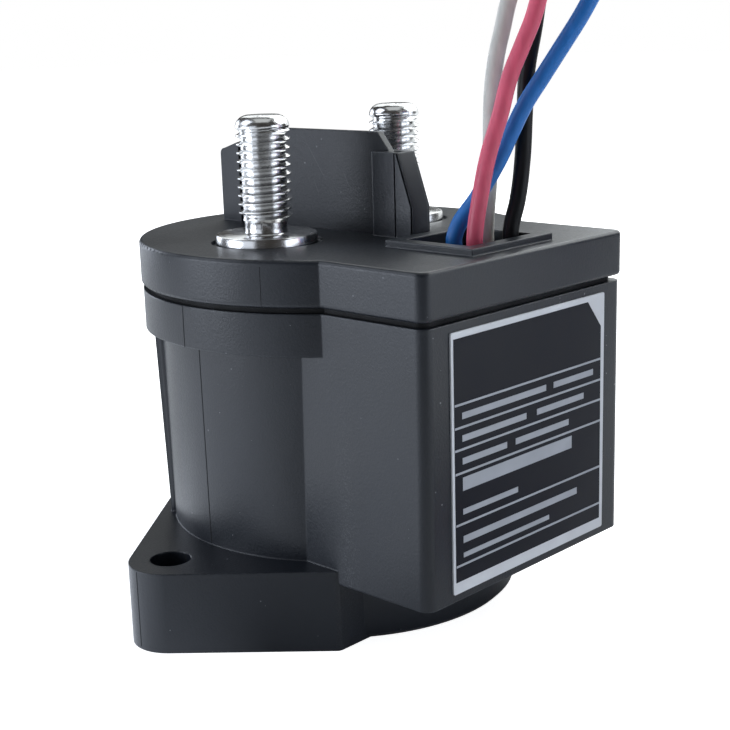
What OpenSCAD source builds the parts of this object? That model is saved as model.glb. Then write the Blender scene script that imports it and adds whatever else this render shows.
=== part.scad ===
// Sealed high voltage DC contactor: round moulded body with a side box, two stud
// terminals parted by a barrier, and a plunger that lifts a sprung contact bridge.
// Origin on the body's axis at the mounting plane, +Z up, the box towards +X.

/* [Housing] */
// Outer radius of the body under the collar
body_r = 28.9; // [28.5:0.1:29.6]
// Outer radius of the body at its foot
foot_r = 27.6; // [27:0.1:28.4]
// Height of the housing up to the seam with the lid
housing_h = 49.4; // [49:0.1:52]
// How far the collar under the seam stands out past the body
collar_out = 1.2; // [0.9:0.1:2]
// Height of the collar
collar_h = 6.1; // [4:0.1:8]
// Wall of the housing and the box
wall = 2.2; // [1.6:0.1:2.4]
// Thickness of the floor
floor_t = 2.6; // [2:0.1:3.2]
// Chamfer round the foot
foot_chamfer = 0.7; // [0.3:0.1:1.2]

/* [Box] */
// From the axis to the front face of the box
box_reach = 38; // [37.4:0.1:40]
// Half the width of the box
box_half_w = 22.95; // [22.6:0.05:24]
// Height of the underside of the box
box_bottom = 10.2; // [8:0.1:11]
// Radius of the upright corners of the box
corner_r = 1.75; // [1:0.05:2]

/* [Lugs] */
// Height of the mounting lugs
lug_h = 12.2; // [11:0.1:14]
// Place of the mounting holes along X
lug_x = -1.7; // [-2:0.1:0]
// From the middle of the part to each mounting hole, along Y
lug_hole_at = 35; // [34.4:0.1:37]
// Radius of the mounting holes
lug_hole_r = 3; // [2.6:0.05:3.3]
// Radius round the tip of a lug
lug_tip_r = 6.2; // [5.5:0.1:7]
// Distance of the lug's rear edge from the middle between the holes
lug_back_edge = 27.8; // [27.2:0.1:29]
// Distance of the lug's front edge from the middle between the holes
lug_front_edge = 32.4; // [31:0.1:33.4]
// Where the lug ends under the box, along X
lug_end_x = 21.1; // [20:0.1:22]
// Radius of the upright corner at the lug's end
lug_corner_r = 1.2; // [0.6:0.1:2]
// Turn over which the lug's rear edge runs out into the body, in degrees
lug_blend = 16; // [12:1:24]
// How far the wall above a lug is set back, at the lug
recess_low = 0.67; // [0.4:0.01:0.9]
// How far the wall above a lug is set back, at the collar
recess_high = 1.3; // [1:0.05:1.6]
// Turn from the lug's middle to the rear end of the set-back wall, in degrees
recess_turn = 40; // [30:1:46]

/* [Lid] */
// Height of the seam between housing and lid
seam_h = 0.8; // [0.5:0.1:1.2]
// How far the seal in the seam is set back
seal_inset = 1; // [0.6:0.1:1.2]
// Height of the lid
lid_h = 6.7; // [6:0.1:8]
// How far the lid stands out past the housing
lid_over = 0.25; // [0:0.05:0.5]
// Rounding of the lid's edges
lid_edge_r = 0.6; // [0.3:0.1:1]
// Thickness of the lid's top wall
lid_top_t = 3; // [2.4:0.1:3.4]

/* [Lead window] */
// From the box's front face back to the middle of the window
window_back = 11; // [10.6:0.1:11.4]
// Length of the window along X
window_l = 11.6; // [11:0.1:12]
// Width of the window along Y
window_w = 14; // [13:0.1:15]
// Width of the raised rim
rim_t = 2.2; // [1.6:0.1:2.4]
// Height of the raised rim
rim_h = 1; // [0.6:0.1:1.4]
// Depth of the sealing resin under the lid's top
resin_down = 1.5; // [1:0.1:2]
// Thickness of the sealing resin
resin_t = 3.9; // [2:0.1:4.5]

/* [Terminals] */
// Distance between the two studs
stud_spacing = 28.9; // [28:0.1:30]
// Outer radius of the stud's thread
stud_r = 4; // [3.5:0.1:4.5]
// Height of the stud above the lid
stud_h = 18.6; // [16:0.1:22]
// Rounding of the stud's end
stud_end_r = 1.8; // [1:0.1:2.4]
// Height of the neck above the flange
neck_h = 2.1; // [1.5:0.1:3]
// Radius of the neck
neck_r = 3.15; // [2.8:0.05:3.4]
// Radius of the flange that a ring terminal sits on
flange_r = 7.6; // [7:0.1:8]
// Height of the flange above the lid
flange_h = 1.3; // [0.8:0.1:2]
// Depth of the flange's seat in the lid
flange_seat = 0.6; // [0.3:0.1:1]
// Clearance round the flange in its seat
seat_gap = 0.7; // [0.3:0.1:1]
// Radius of the stud's column inside the lid
column_r = 5; // [4.6:0.1:5.2]
// Clearance of the column in the lid and the arc chamber
column_gap = 0.05; // [0.02:0.01:0.1]
// Outer radius of the seal round a column
stud_seal_r = 7.8; // [7:0.1:8.2]
// Height of the seal between the arc chamber and the lid
stud_seal_h = 2.6; // [2:0.1:3]

/* [Barrier] */
// Thickness of the barrier plate
barrier_t = 1.2; // [1:0.1:1.6]
// Height of the barrier plate above the lid
barrier_h = 15.4; // [13:0.1:18]
// Rear end of the barrier plate, along X
barrier_back = -23.9; // [-25:0.1:-23]
// Front end of the barrier plate, along X
barrier_front = 14.4; // [13.8:0.1:14.6]
// How far the plate's front is set back at the top of the posts
barrier_nose = 2; // [1:0.1:2.4]
// Length of the plate's sloped front corner
barrier_bevel = 2.3; // [1.6:0.1:3]
// Length of the plate's sloped rear shoulder
barrier_slope = 13; // [10:0.1:18]
// Clipped rear corner of the plate
barrier_corner = 2; // [1:0.1:4]
// Depth of the plate's slot in the lid
slot_depth = 1; // [0.5:0.1:1.5]
// Clearance of the plate in its slot, each side
slot_gap = 0.05; // [0.02:0.01:0.1]
// Length of the guide posts along X
post_l = 4.4; // [3:0.1:5]
// Half the width over a pair of guide posts
post_half_w = 1.9; // [1.6:0.1:2.4]
// Rounding of the rear posts' upper corner
post_corner_r = 0.9; // [0.5:0.1:1.2]
// How far the rear posts fall off at their rear end
post_fall = 0.7; // [0.3:0.1:1]
// How far the guide posts stay below the plate's top
post_down = 2.8; // [2:0.1:4]
// Gap between the front posts and the buttress
buttress_gap = 0.25; // [0.15:0.05:0.4]
// Length of the buttress on the lid
buttress_l = 3.3; // [2.8:0.1:3.4]
// Length of the buttress's top
buttress_top = 0.5; // [0.3:0.1:1]
// Height of the upright foot of the buttress
buttress_foot = 4.7; // [3:0.1:7]
// Width of the groove along the buttress's sloped edge
groove_w = 0.3; // [0.2:0.05:0.35]
// Depth of that groove
groove_depth = 0.4; // [0.2:0.05:0.6]

/* [Contacts] */
// Lift of the bridge until the contacts meet
bridge_lift = 1.5; // [1.2:0.05:1.8]
// Further stroke of the plunger that presses the contacts together
overtravel = 0.8; // [0.4:0.05:1]
// Air left between the contacts at full stroke
contact_air = 0.05; // [0.03:0.01:0.1]
// Radius of the contact tips
tip_r = 4; // [3:0.1:4.4]
// Thickness of a fixed contact tip
fixed_tip_t = 1; // [0.6:0.1:1.4]
// Thickness of a bridge contact tip
bridge_tip_t = 0.8; // [0.5:0.1:1.2]
// Thickness of the contact bridge
bridge_t = 2.5; // [2:0.1:3]
// Width of the contact bridge
bridge_w = 10; // [9:0.1:12]
// Radius of the plunger's shaft
shaft_r = 2; // [1.8:0.05:2.2]
// Running clearance round the shaft
shaft_gap = 0.1; // [0.05:0.01:0.15]
// Length of the contact spring at rest
contact_spring_l = 4.7; // [4:0.1:5]
// Radius of the spring wires
spring_wire_r = 0.5; // [0.4:0.05:0.6]

/* [Arc chamber] */
// How far the ceramic arc chamber stays inside the yoke's outline
chamber_inset = 1; // [0.4:0.1:1.4]
// Distance between the chamber's flat sides
chamber_w = 28; // [27:0.1:29]
// Wall of the arc chamber
chamber_wall = 2.4; // [2:0.1:2.6]
// Thickness of the chamber's roof
chamber_roof = 2.6; // [2:0.1:3]
// Height of the arc chamber
chamber_h = 16.6; // [16.4:0.1:17]
// Thickness of the blowout magnets
magnet_t = 3; // [2:0.1:3.4]
// Length of the blowout magnets
magnet_l = 22; // [18:0.1:24]
// Height of the blowout magnets
magnet_h = 12; // [9:0.1:13]
// Thickness of the steel keepers on the magnets
keeper_t = 1.4; // [1:0.1:1.8]
// How far a keeper stands out past its magnet
keeper_over = 1; // [0.5:0.1:1.5]

/* [Coil] */
// Clearance between the steel yoke and the housing's wall
yoke_gap = 1.4; // [1:0.1:1.8]
// Wall of the yoke cup
yoke_wall = 2.2; // [1.8:0.1:2.4]
// Thickness of the yoke cup's floor
yoke_floor = 2.5; // [2:0.1:2.8]
// Thickness of the yoke's top plate
top_plate_t = 3; // [2.5:0.1:3.5]
// Thickness of the bobbin's flanges
bobbin_flange_t = 1.3; // [1:0.1:1.6]
// Wall of the bobbin's tube
bobbin_wall = 1; // [0.8:0.1:1.2]
// Clearance of the bobbin in the yoke
bobbin_gap = 0.4; // [0.2:0.1:0.6]
// How far the winding stays inside the bobbin's flanges
winding_inset = 0.8; // [0.4:0.1:1.5]
// Outer radius of the guide tube
tube_r = 8.6; // [8.4:0.1:9]
// Wall of the guide tube
tube_wall = 0.6; // [0.4:0.1:0.8]
// Running clearance of the armature in the guide tube
armature_gap = 0.15; // [0.1:0.01:0.2]
// Length of the armature
armature_l = 10.3; // [9.5:0.1:11]
// Air gap left above the armature at full stroke
pole_air = 0.2; // [0.1:0.05:0.4]
// Thickness of the rubber stop under the armature
stop_t = 0.4; // [0.3:0.1:0.8]
// Radius of the return spring's pockets
pocket_r = 5; // [4.8:0.1:5.4]

/* [Driver board] */
// From the box's front face back to the inner face of the driver board
board_back = 7.4; // [7:0.1:7.8]
// Thickness of the driver board
board_t = 1.6; // [1.2:0.1:2]
// How far the driver board stays below the housing's rim
board_down = 3.4; // [3:0.1:6]
// Width of a rail along X
rail_t = 1.6; // [1.2:0.1:1.8]
// How far the rails stand out from the box's side walls
rail_out = 2.5; // [2:0.1:3]
// Clearance of the board in its rails
board_gap = 0.1; // [0.05:0.01:0.2]
// Radius of the capacitor
capacitor_r = 4; // [3:0.1:4.5]
// Air between the capacitor and the keeper behind it
capacitor_air = 3.2; // [2:0.1:5]
// Width of the switching transistor
transistor_w = 10; // [8:0.1:11]
// Height of the transistor's body
transistor_h = 9; // [7:0.1:9.5]
// Thickness of the transistor's body
transistor_t = 4.5; // [3:0.1:5]
// Radius of the position switch's capsule
reed_r = 1.15; // [0.9:0.05:1.2]
// Length of the position switch's capsule
reed_l = 10; // [8:0.1:11]

/* [Rating plate] */
// Width of the rating plate
plate_w = 35.8; // [30:0.1:38]
// Gap between the plate and the underside of the box
plate_up = 1.2; // [0.8:0.1:4]
// Thickness of the rating plate
plate_t = 0.25; // [0.1:0.05:0.5]
// Gap between the plate and the seam
plate_down = 1.2; // [0.8:0.1:1.6]

/* [Leads] */
// Radius of a lead over its insulation
lead_r = 1.2; // [1:0.05:1.3]
// Radius of a tinned wire end
strand_r = 0.75; // [0.5:0.05:0.9]
// Length of a tinned wire end
strand_l = 7; // [5:0.5:8]
// Radius of the middle of the lead coil
lead_coil_r = 13; // [12.5:0.1:14]
// Pitch of the coil's turns
lead_pitch = 2.45; // [2.42:0.01:2.6]
// Thickness of the tie round the coil
tie_t = 0.6; // [0.4:0.1:1]

/* [Hidden] */
$fn = 96;
past = 1;                                    // how far a cut runs past a face

// Heights, from the mounting plane up
collar_z = housing_h - collar_h;
lid_z = housing_h + seam_h;
lid_top = lid_z + lid_h;
rim_top = lid_top + rim_h;
resin_top = lid_top - resin_down;
yoke_z = floor_t;
coil_z = yoke_z + yoke_floor;
chamber_top = lid_z - stud_seal_h;
chamber_z = chamber_top - chamber_h;
plate_z = chamber_z - top_plate_t;
coil_h = plate_z - coil_z;
chamber_ceiling = chamber_top - chamber_roof;
tube_floor = tube_wall + 0.1;
stop_z = coil_z + tube_floor;
armature_z = stop_z + stop_t;
armature_top = armature_z + armature_l;
stroke = bridge_lift + overtravel;
core_z = armature_top + stroke + pole_air;
spring_seat_z = armature_top - armature_l * 0.3;
core_pocket = (plate_z - core_z) * 2 / 3;
shaft_z = armature_z + armature_l * 0.25;
collar_gap = 0.9;                            // shaft collar above the yoke plate at rest
shaft_collar_t = 1;
shaft_collar_z = chamber_z + collar_gap;
bridge_z = shaft_collar_z + shaft_collar_t + contact_spring_l;
bridge_top = bridge_z + bridge_t;
clip_z = bridge_top + contact_air;
clip_t = 0.6;
shaft_top = clip_z + clip_t + 0.25;
aux_magnet_t = 1.2;
fixed_tip_z = bridge_top + bridge_tip_t + bridge_lift + contact_air;
column_z = fixed_tip_z + fixed_tip_t;

// Widths and places worked out from the sizes above
stud_y = stud_spacing / 2;
window_at = box_reach - window_back;
collar_r = body_r + collar_out;
lid_r = collar_r + lid_over;
cavity_r = body_r - recess_high - wall;
yoke_r = min(cavity_r, foot_r - wall) - yoke_gap;
chamber_r = yoke_r - chamber_inset;
recess_in_box = 45;                          // turn past the lug's middle that ends inside the box
slot_half_w = barrier_t / 2 + slot_gap;
armature_r = tube_r - tube_wall - armature_gap;
core_gap = 0.1;
core_r = tube_r - tube_wall - core_gap;
spigot_r = 5;
bobbin_r = yoke_r - yoke_wall - bobbin_gap;
bobbin_in = tube_r + 0.1;
shaft_collar_r = 4.6;
bridge_end = 0.3;                            // bridge past its contact tips
bridge_half_l = stud_y + tip_r + bridge_end;
chamber_half_w = chamber_w / 2;
return_spring_r = (pocket_r + shaft_r) / 2 + 0.2;
spring_air = 0.6;                            // clearance inside the contact spring
contact_spring_r = shaft_r + shaft_gap + spring_wire_r + spring_air;
post_front_x = barrier_front + slot_gap;
post_back_x = barrier_back - slot_gap;
post_h = barrier_h - post_down;
buttress_x = post_front_x + buttress_gap;
board_at = box_reach - board_back;
board_z = box_bottom + wall;
board_h = housing_h - board_down - board_z;
rail_h = board_h * 0.8;
board_side = 0.7;                            // air beside the driver board
board_half_w = box_half_w - wall - board_gap - board_side;
board_face = board_at + board_t;
board_tall_z = board_z + board_h * 0.78;     // middle of the tall components
capacitor_y = -10;
capacitor_l = board_at - chamber_half_w - magnet_t - keeper_t - capacitor_air;
transistor_y = 8;
tab_t = 1.3;                                 // the transistor's cooling tab
tab_h = 3;
tab_hole_r = 0.8;
chip_t = 1.6;
// Chips: place along Y, share of the board's height, width and height
chips = [[-12, 0.2, 8, 6], [2, 0.35, 5, 4], [-6, 0.55, 10, 5]];
reed_pin_r = 0.35;
reed_pin_l = 1.3;

plate_h = housing_h - plate_down - plate_up - box_bottom;

// The coil of spare lead, on the surface that the part stands on
coil_centre = [82, 24];
lead_count = 4;
coil_turns = 2;
coil_z0 = tie_t;
coil_in = lead_coil_r - coil_turns * lead_pitch / 2 - lead_r;
coil_out = lead_coil_r + coil_turns * lead_pitch / 2 + lead_r;
coil_wound_h = 2 * lead_r + (lead_count - 1) * lead_pitch;
function layer_z(layer) = coil_z0 + lead_r + layer * lead_pitch;
strand_angle = 60;
strand_heading = [0.42, -0.91];
strand_from = coil_in - 0.5;
strand_start = coil_centre + strand_from * [cos(strand_angle), sin(strand_angle)];
tie_angle = 20;

// Routes of the leads, from the resin up, over and down to the coil. They are drawn for one place of
// the window, and their upper points move with it.
drawn_window = [27, 56.9];
drawn_arch_z = 55;
arch_move = [window_at - drawn_window[0], 0, lid_top - drawn_window[1]];
function placed(route) = [for (spot = route) spot[2] > drawn_arch_z ? spot + arch_move : spot];
white_route = [
    [26.7, 4.3, 58.7], [26.8, 4.5, 61.6], [27, 4.6, 64.3], [27.2, 4.9, 70.1], [27.4, 5.1, 78.2],
    [27.9, 5.5, 83], [28.5, 6.1, 86.7], [29.4, 6.9, 91.5], [32.8, 10, 102.5], [41.9, 18, 109.8],
    [53, 28, 109.8], [62.3, 36.2, 103.5], [65.3, 39.1, 92], [65.5, 39.4, 79], [65, 38.9, 48],
    [65.5, 39.4, 15.8], [66.4, 39.4, 12.5], [68.8, 39.4, 10.4], [73, 39.4, 9.15]];
black_route = [
    [30.4, 5.4, 58.4], [30.9, 6.4, 62.8], [31, 7.4, 68.2], [30.9, 8.1, 74.9], [31, 8.4, 80.2],
    [31.8, 9.1, 86.6], [32.5, 9.8, 92], [35.4, 12.6, 101.5], [43, 20, 107.2], [52.5, 29.2, 107.2],
    [60, 36.6, 101.5], [62.7, 39.1, 91], [63, 39.4, 78], [62.5, 38.9, 48], [63, 39.4, 15.8],
    [64.2, 39.4, 11.3], [67.5, 39.4, 8.2], [73, 39.4, 6.7]];
blue_route = [
    [25, -0.8, 58], [26.1, 0.2, 63.9], [29.7, 3.6, 68.3], [31, 4.9, 72.8], [32.4, 6.2, 76.3],
    [34.2, 7.9, 80.1], [36.3, 9.9, 84.5], [38, 11.5, 88.1], [39.6, 13.1, 92], [41.5, 15.5, 96.5],
    [45.5, 21.5, 101.5], [51, 30, 102], [55.8, 36.8, 97], [57.8, 39.2, 88], [58, 39.4, 76],
    [57.5, 38.9, 48], [58, 39.4, 15.8], [59.9, 39.4, 8.8], [65, 39.4, 3.7], [73, 39.4, 1.8]];
red_route = [
    [28.7, -0.8, 58], [29.4, -0.2, 64.3], [30.2, 0.6, 69.7], [31.4, 1.7, 75], [32.4, 2.7, 80.3],
    [33.7, 3.9, 84.6], [34.7, 4.9, 88], [35.6, 5.8, 92], [38, 9, 99.5], [44.2, 17.4, 104.6],
    [51.9, 27.8, 104.6], [58, 36.2, 99.2], [60.2, 39, 90], [60.5, 39.4, 77], [60, 38.9, 48],
    [60.5, 39.4, 15.8], [62, 39.4, 10.2], [66.2, 39.4, 6], [73, 39.4, 4.25]];

// Outline of the box seen from above, from the axis to its front face
module box_outline(grow) {
    reach = box_reach + grow;
    half_w = box_half_w + grow;
    translate([0, -half_w]) square([reach - corner_r, 2 * half_w]);
    translate([0, corner_r - half_w]) square([reach, 2 * (half_w - corner_r)]);
    for (side = [-1, 1]) translate([reach - corner_r, side * (half_w - corner_r)]) circle(corner_r);
}

// The round body and the box in one outline
module full_outline(round_r, grow) {
    circle(round_r);
    box_outline(grow);
}

// Half section of a slab whose outer edges are rounded
module edge_section(w, h, r) {
    square([w - r, h]);
    translate([0, r]) square([w, h - 2 * r]);
    for (z = [r, h - r]) translate([w - r, z]) circle(r, $fn = 32);
}

// Radius of the tapered body at a height
function body_at(z) = foot_r + (body_r - foot_r) * (z - foot_chamfer) / (collar_z - foot_chamfer);

// One lug seen from above: a tip round the hole, with two edges that run to the body
module lug_outline() {
    back_angle = asin((lug_back_edge - lug_tip_r) / lug_hole_at);
    front_angle = asin((lug_front_edge - lug_tip_r) / lug_hole_at);
    back_normal = [-cos(back_angle), -sin(back_angle)];
    front_normal = [cos(front_angle), -sin(front_angle)];
    blend_angle = 180 + back_angle - lug_blend;
    end_x = lug_end_x - lug_x;
    corner_x = end_x - lug_corner_r;
    corner_y = (front_normal[0] * corner_x - lug_front_edge + lug_corner_r) / sin(front_angle);
    corner = [corner_x, corner_y];
    hole = [0, -lug_hole_at];
    translate([lug_x, 0]) {
        translate(hole) circle(lug_tip_r);
        translate(corner) circle(lug_corner_r);
        polygon([hole, hole + lug_tip_r * back_normal, lug_back_edge * back_normal,
            (foot_r - wall) * [cos(blend_angle), sin(blend_angle)], [0, 0], [end_x, -foot_r / 2],
            [end_x, corner_y], corner + lug_corner_r * front_normal, hole + lug_tip_r * front_normal]);
    }
}

module lug() linear_extrude(lug_h) lug_outline();

// The wall above a lug is set back from the round body, from behind the lug up to the box
module lug_recess() {
    low_z = lug_h - past;
    low_r = body_at(low_z) - recess_low;
    rotate(-90 - recess_turn) rotate_extrude(angle = recess_turn + recess_in_box)
        polygon([[low_r, low_z], [collar_r, low_z], [collar_r, collar_z + past],
            [body_r - recess_high, collar_z + past]]);
}

// The round body with its collar, tapered towards the foot
module round_body() {
    difference() {
        rotate_extrude() polygon([[0, 0], [foot_r - foot_chamfer, 0], [foot_r, foot_chamfer],
            [body_r, collar_z], [0, collar_z]]);
        lug_recess();
        mirror([0, 1, 0]) lug_recess();
    }
    translate([0, 0, collar_z]) cylinder(h = collar_h, r = collar_r);
}

module housing() color("#3a3d42") {
    difference() {
        union() {
            round_body();
            translate([0, 0, box_bottom]) linear_extrude(housing_h - box_bottom) box_outline(0);
            lug();
            mirror([0, 1, 0]) lug();
        }
        rotate_extrude() polygon([[0, floor_t], [foot_r - wall, floor_t], [cavity_r, collar_z],
            [cavity_r, housing_h + past], [0, housing_h + past]]);
        translate([0, 0, board_z]) linear_extrude(housing_h + past - board_z) box_outline(-wall);
        for (side = [-1, 1]) translate([lug_x, side * lug_hole_at, -past])
            cylinder(h = lug_h + 2 * past, r = lug_hole_r);
    }
    // Rails that hold the driver board by its edges
    for (side = [-1, 1], x = [board_at - board_gap - rail_t, board_face + board_gap])
        translate([x, side > 0 ? box_half_w - wall - rail_out : wall - box_half_w, board_z])
            cube([rail_t, rail_out, rail_h]);
}

module lid_seal() color("#1c1d1f") translate([0, 0, housing_h]) linear_extrude(seam_h) difference() {
    full_outline(collar_r - seal_inset, -seal_inset);
    full_outline(cavity_r, -wall);
}

// The lid's round plate and box plate, with all outer edges rounded
module lid_plate() {
    reach = box_reach + lid_over;
    half_w = box_half_w + lid_over;
    rotate_extrude() edge_section(lid_r, lid_h, lid_edge_r);
    rotate([90, 0, 90]) linear_extrude(reach - corner_r) {
        edge_section(half_w, lid_h, lid_edge_r);
        mirror([1, 0]) edge_section(half_w, lid_h, lid_edge_r);
    }
    rotate([90, 0, 0]) linear_extrude(2 * (half_w - corner_r), center = true)
        edge_section(reach, lid_h, lid_edge_r);
    for (side = [0, 1]) mirror([0, side, 0]) translate([reach - corner_r, half_w - corner_r, 0])
        rotate_extrude(angle = 90) edge_section(corner_r, lid_h, lid_edge_r);
}

// A pair of upright slabs on the lid's top, one on each side of the barrier plate
module guide_pair() for (side = [0, 1]) mirror([0, side, 0]) translate([0, slot_half_w, 0])
    rotate([90, 0, 0]) mirror([0, 0, 1]) linear_extrude(post_half_w - slot_half_w) children();

module front_posts() guide_pair() translate([post_front_x - post_l, -slot_depth])
    square([post_l, slot_depth + post_h]);

// The rear posts follow the plate's shoulder and are rounded at the rear
module rear_posts() guide_pair() {
    rise = (barrier_h - post_h) / (barrier_slope - barrier_corner);
    rear_h = post_h - post_fall;
    polygon([[post_back_x, -slot_depth], [post_back_x + post_l, -slot_depth],
        [post_back_x + post_l, rear_h + rise * post_l], [post_back_x + post_corner_r, rear_h],
        [post_back_x, rear_h - post_corner_r]]);
    translate([post_back_x + post_corner_r, rear_h - post_corner_r]) circle(post_corner_r);
}

// The buttress in front of the barrier, upright at its foot and sloping above, with a groove along the
// front edge of each side
module buttress() difference() {
    front_x = buttress_x + buttress_l;
    top_x = buttress_x + buttress_top;
    rib = 0.1;
    rotate([90, 0, 0]) linear_extrude(2 * post_half_w, center = true)
        polygon([[buttress_x, -slot_depth], [front_x, -slot_depth], [front_x, buttress_foot],
            [top_x, post_h], [buttress_x, post_h]]);
    for (side = [0, 1]) mirror([0, side, 0]) translate([0, past + post_half_w, 0]) rotate([90, 0, 0])
        linear_extrude(past + groove_depth) translate([-rib, 0])
            polygon([[front_x, 0], [front_x, buttress_foot], [top_x, post_h], [top_x, post_h + past],
                [top_x - groove_w, post_h + past], [top_x - groove_w, post_h],
                [front_x - groove_w, buttress_foot], [front_x - groove_w, 0]]);
}

module lid() color("#3a3d42") difference() {
    union() {
        translate([0, 0, lid_z]) lid_plate();
        translate([0, 0, lid_top]) {
            rear_posts();
            front_posts();
            buttress();
        }
        translate([window_at - window_l / 2 - rim_t, -window_w / 2 - rim_t, lid_top - lid_top_t / 2])
            cube([window_l + 2 * rim_t, window_w + 2 * rim_t, lid_top_t / 2 + rim_h]);
    }
    // Hollow underside, with solid bosses left round the studs
    translate([0, 0, lid_z - past]) linear_extrude(lid_h - lid_top_t + past) difference() {
        full_outline(cavity_r, -wall);
        for (side = [-1, 1]) translate([0, side * stud_y]) circle(stud_seal_r + 1);
    }
    for (side = [-1, 1]) translate([0, side * stud_y, lid_z - past]) {
        cylinder(h = lid_h + 2 * past, r = column_r + column_gap);
        translate([0, 0, past + lid_h - flange_seat])
            cylinder(h = flange_seat + past, r = flange_r + seat_gap);
    }
    translate([window_at - window_l / 2, -window_w / 2, lid_z])
        cube([window_l, window_w, lid_h + rim_h + past]);
    translate([barrier_back - slot_gap, -slot_half_w, lid_top - slot_depth])
        cube([barrier_front - barrier_back + 2 * slot_gap, 2 * slot_half_w, slot_depth + past]);
}

// Thin wall between the terminals, with a sloped rear shoulder and a clipped front corner
module barrier_plate() color("#3a3d42") translate([0, 0, lid_top]) rotate([90, 0, 0])
    linear_extrude(barrier_t, center = true) polygon([
        [barrier_back, -slot_depth], [barrier_front, -slot_depth], [barrier_front, post_h - barrier_nose],
        [barrier_front - barrier_nose, post_h], [barrier_front - barrier_nose - barrier_bevel, barrier_h],
        [barrier_back + barrier_slope, barrier_h], [barrier_back + barrier_corner, post_h],
        [barrier_back, post_h - barrier_corner / 2]]);

// A stud from its contact column inside to its threaded end above the lid
module terminal_stud(side) color("#d8dadc") translate([0, side * stud_y, 0]) {
    flange_top = lid_top + flange_h;
    neck_top = flange_top + neck_h;
    stud_top = lid_top + stud_h;
    edge = 0.3;
    rotate_extrude() {
        polygon([[0, column_z], [column_r, column_z], [column_r, lid_top - flange_seat],
            [flange_r, lid_top - flange_seat], [flange_r, flange_top - edge], [flange_r - edge, flange_top],
            [neck_r, flange_top], [neck_r, neck_top], [stud_r, neck_top + stud_r - neck_r],
            [stud_r, stud_top - stud_end_r], [stud_r - stud_end_r, stud_top], [0, stud_top]]);
        translate([stud_r - stud_end_r, stud_top - stud_end_r]) circle(stud_end_r);
    }
}

module terminal_stud_front() terminal_stud(-1);

module terminal_stud_rear() terminal_stud(1);

module stud_seals() color("#26211e") for (side = [-1, 1]) translate([0, side * stud_y, chamber_top])
    difference() {
        cylinder(h = stud_seal_h, r = stud_seal_r);
        translate([0, 0, -past]) cylinder(h = stud_seal_h + 2 * past, r = column_r + column_gap);
    }

module rating_plate() color("#e8e9ea")
    translate([box_reach, -plate_w / 2, housing_h - plate_down - plate_h])
        cube([plate_t, plate_w, plate_h]);

module resin_seal() color("#101112")
    translate([window_at - window_l / 2, -window_w / 2, resin_top - resin_t])
        cube([window_l, window_w, resin_t]);

// Outline of the arc chamber: a disc with two flat sides, set in by a wall
module chamber_outline(inset) intersection() {
    circle(chamber_r - inset);
    square([chamber_w - 2 * inset, 2 * chamber_r], center = true);
}

module arc_chamber() color("#e9e4d8") translate([0, 0, chamber_z]) difference() {
    linear_extrude(chamber_h) chamber_outline(0);
    translate([0, 0, -past]) linear_extrude(chamber_h - chamber_roof + past) chamber_outline(chamber_wall);
    for (side = [-1, 1]) translate([0, side * stud_y, 0])
        cylinder(h = chamber_h + past, r = column_r + column_gap);
}

module fixed_contact_tips() color("#c9c9c4") for (side = [-1, 1])
    translate([0, side * stud_y, fixed_tip_z]) cylinder(h = fixed_tip_t, r = tip_r);

module contact_bridge() color("#c07a4a") translate([0, 0, bridge_z]) linear_extrude(bridge_t) difference() {
    union() {
        square([bridge_w, 2 * bridge_half_l - bridge_w], center = true);
        for (side = [-1, 1]) translate([0, side * (bridge_half_l - bridge_w / 2)]) circle(bridge_w / 2);
    }
    circle(shaft_r + shaft_gap);
}

module bridge_contact_tips() color("#c9c9c4") for (side = [-1, 1])
    translate([0, side * stud_y, bridge_top]) cylinder(h = bridge_tip_t, r = tip_r);

module contact_shaft() color("#a9adb1") rotate_extrude() polygon([[0, shaft_z], [shaft_r, shaft_z],
    [shaft_r, shaft_collar_z], [shaft_collar_r, shaft_collar_z],
    [shaft_collar_r, shaft_collar_z + shaft_collar_t], [shaft_r, shaft_collar_z + shaft_collar_t],
    [shaft_r, clip_z], [shaft_r * 0.75, clip_z], [shaft_r * 0.75, clip_z + clip_t],
    [shaft_r, clip_z + clip_t], [shaft_r, shaft_top], [0, shaft_top]]);

module shaft_clip() color("#8f9296") translate([0, 0, clip_z]) linear_extrude(clip_t) difference() {
    circle(shaft_r * 1.8);
    circle(shaft_r * 0.75);
    translate([0, -shaft_r * 0.7]) square([shaft_r * 2, shaft_r * 1.4]);
}

module aux_magnet() color("#55585c") translate([0, 0, shaft_top]) cylinder(h = aux_magnet_t, r = shaft_r);

module armature() color("#9a9ea3") {
    edge = 0.5;
    rotate_extrude() polygon([[0, armature_z], [armature_r - edge, armature_z],
        [armature_r, armature_z + edge], [armature_r, armature_top - edge],
        [armature_r - edge, armature_top], [pocket_r, armature_top], [pocket_r, spring_seat_z],
        [shaft_r, spring_seat_z], [shaft_r, shaft_z], [0, shaft_z]]);
}

module fixed_core() color("#8d9196") rotate_extrude() polygon([[pocket_r, core_z], [core_r, core_z],
    [core_r, plate_z], [spigot_r, plate_z], [spigot_r, chamber_z], [shaft_r + shaft_gap, chamber_z],
    [shaft_r + shaft_gap, core_z + core_pocket], [pocket_r, core_z + core_pocket]]);

module guide_tube() color("#b9bcc0") rotate_extrude() polygon([[0, coil_z], [tube_r, coil_z],
    [tube_r, plate_z], [tube_r - tube_wall, plate_z], [tube_r - tube_wall, stop_z], [0, stop_z]]);

module stop_pad() color("#222426") translate([0, 0, stop_z]) cylinder(h = stop_t, r = armature_r - 1.4);

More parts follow.
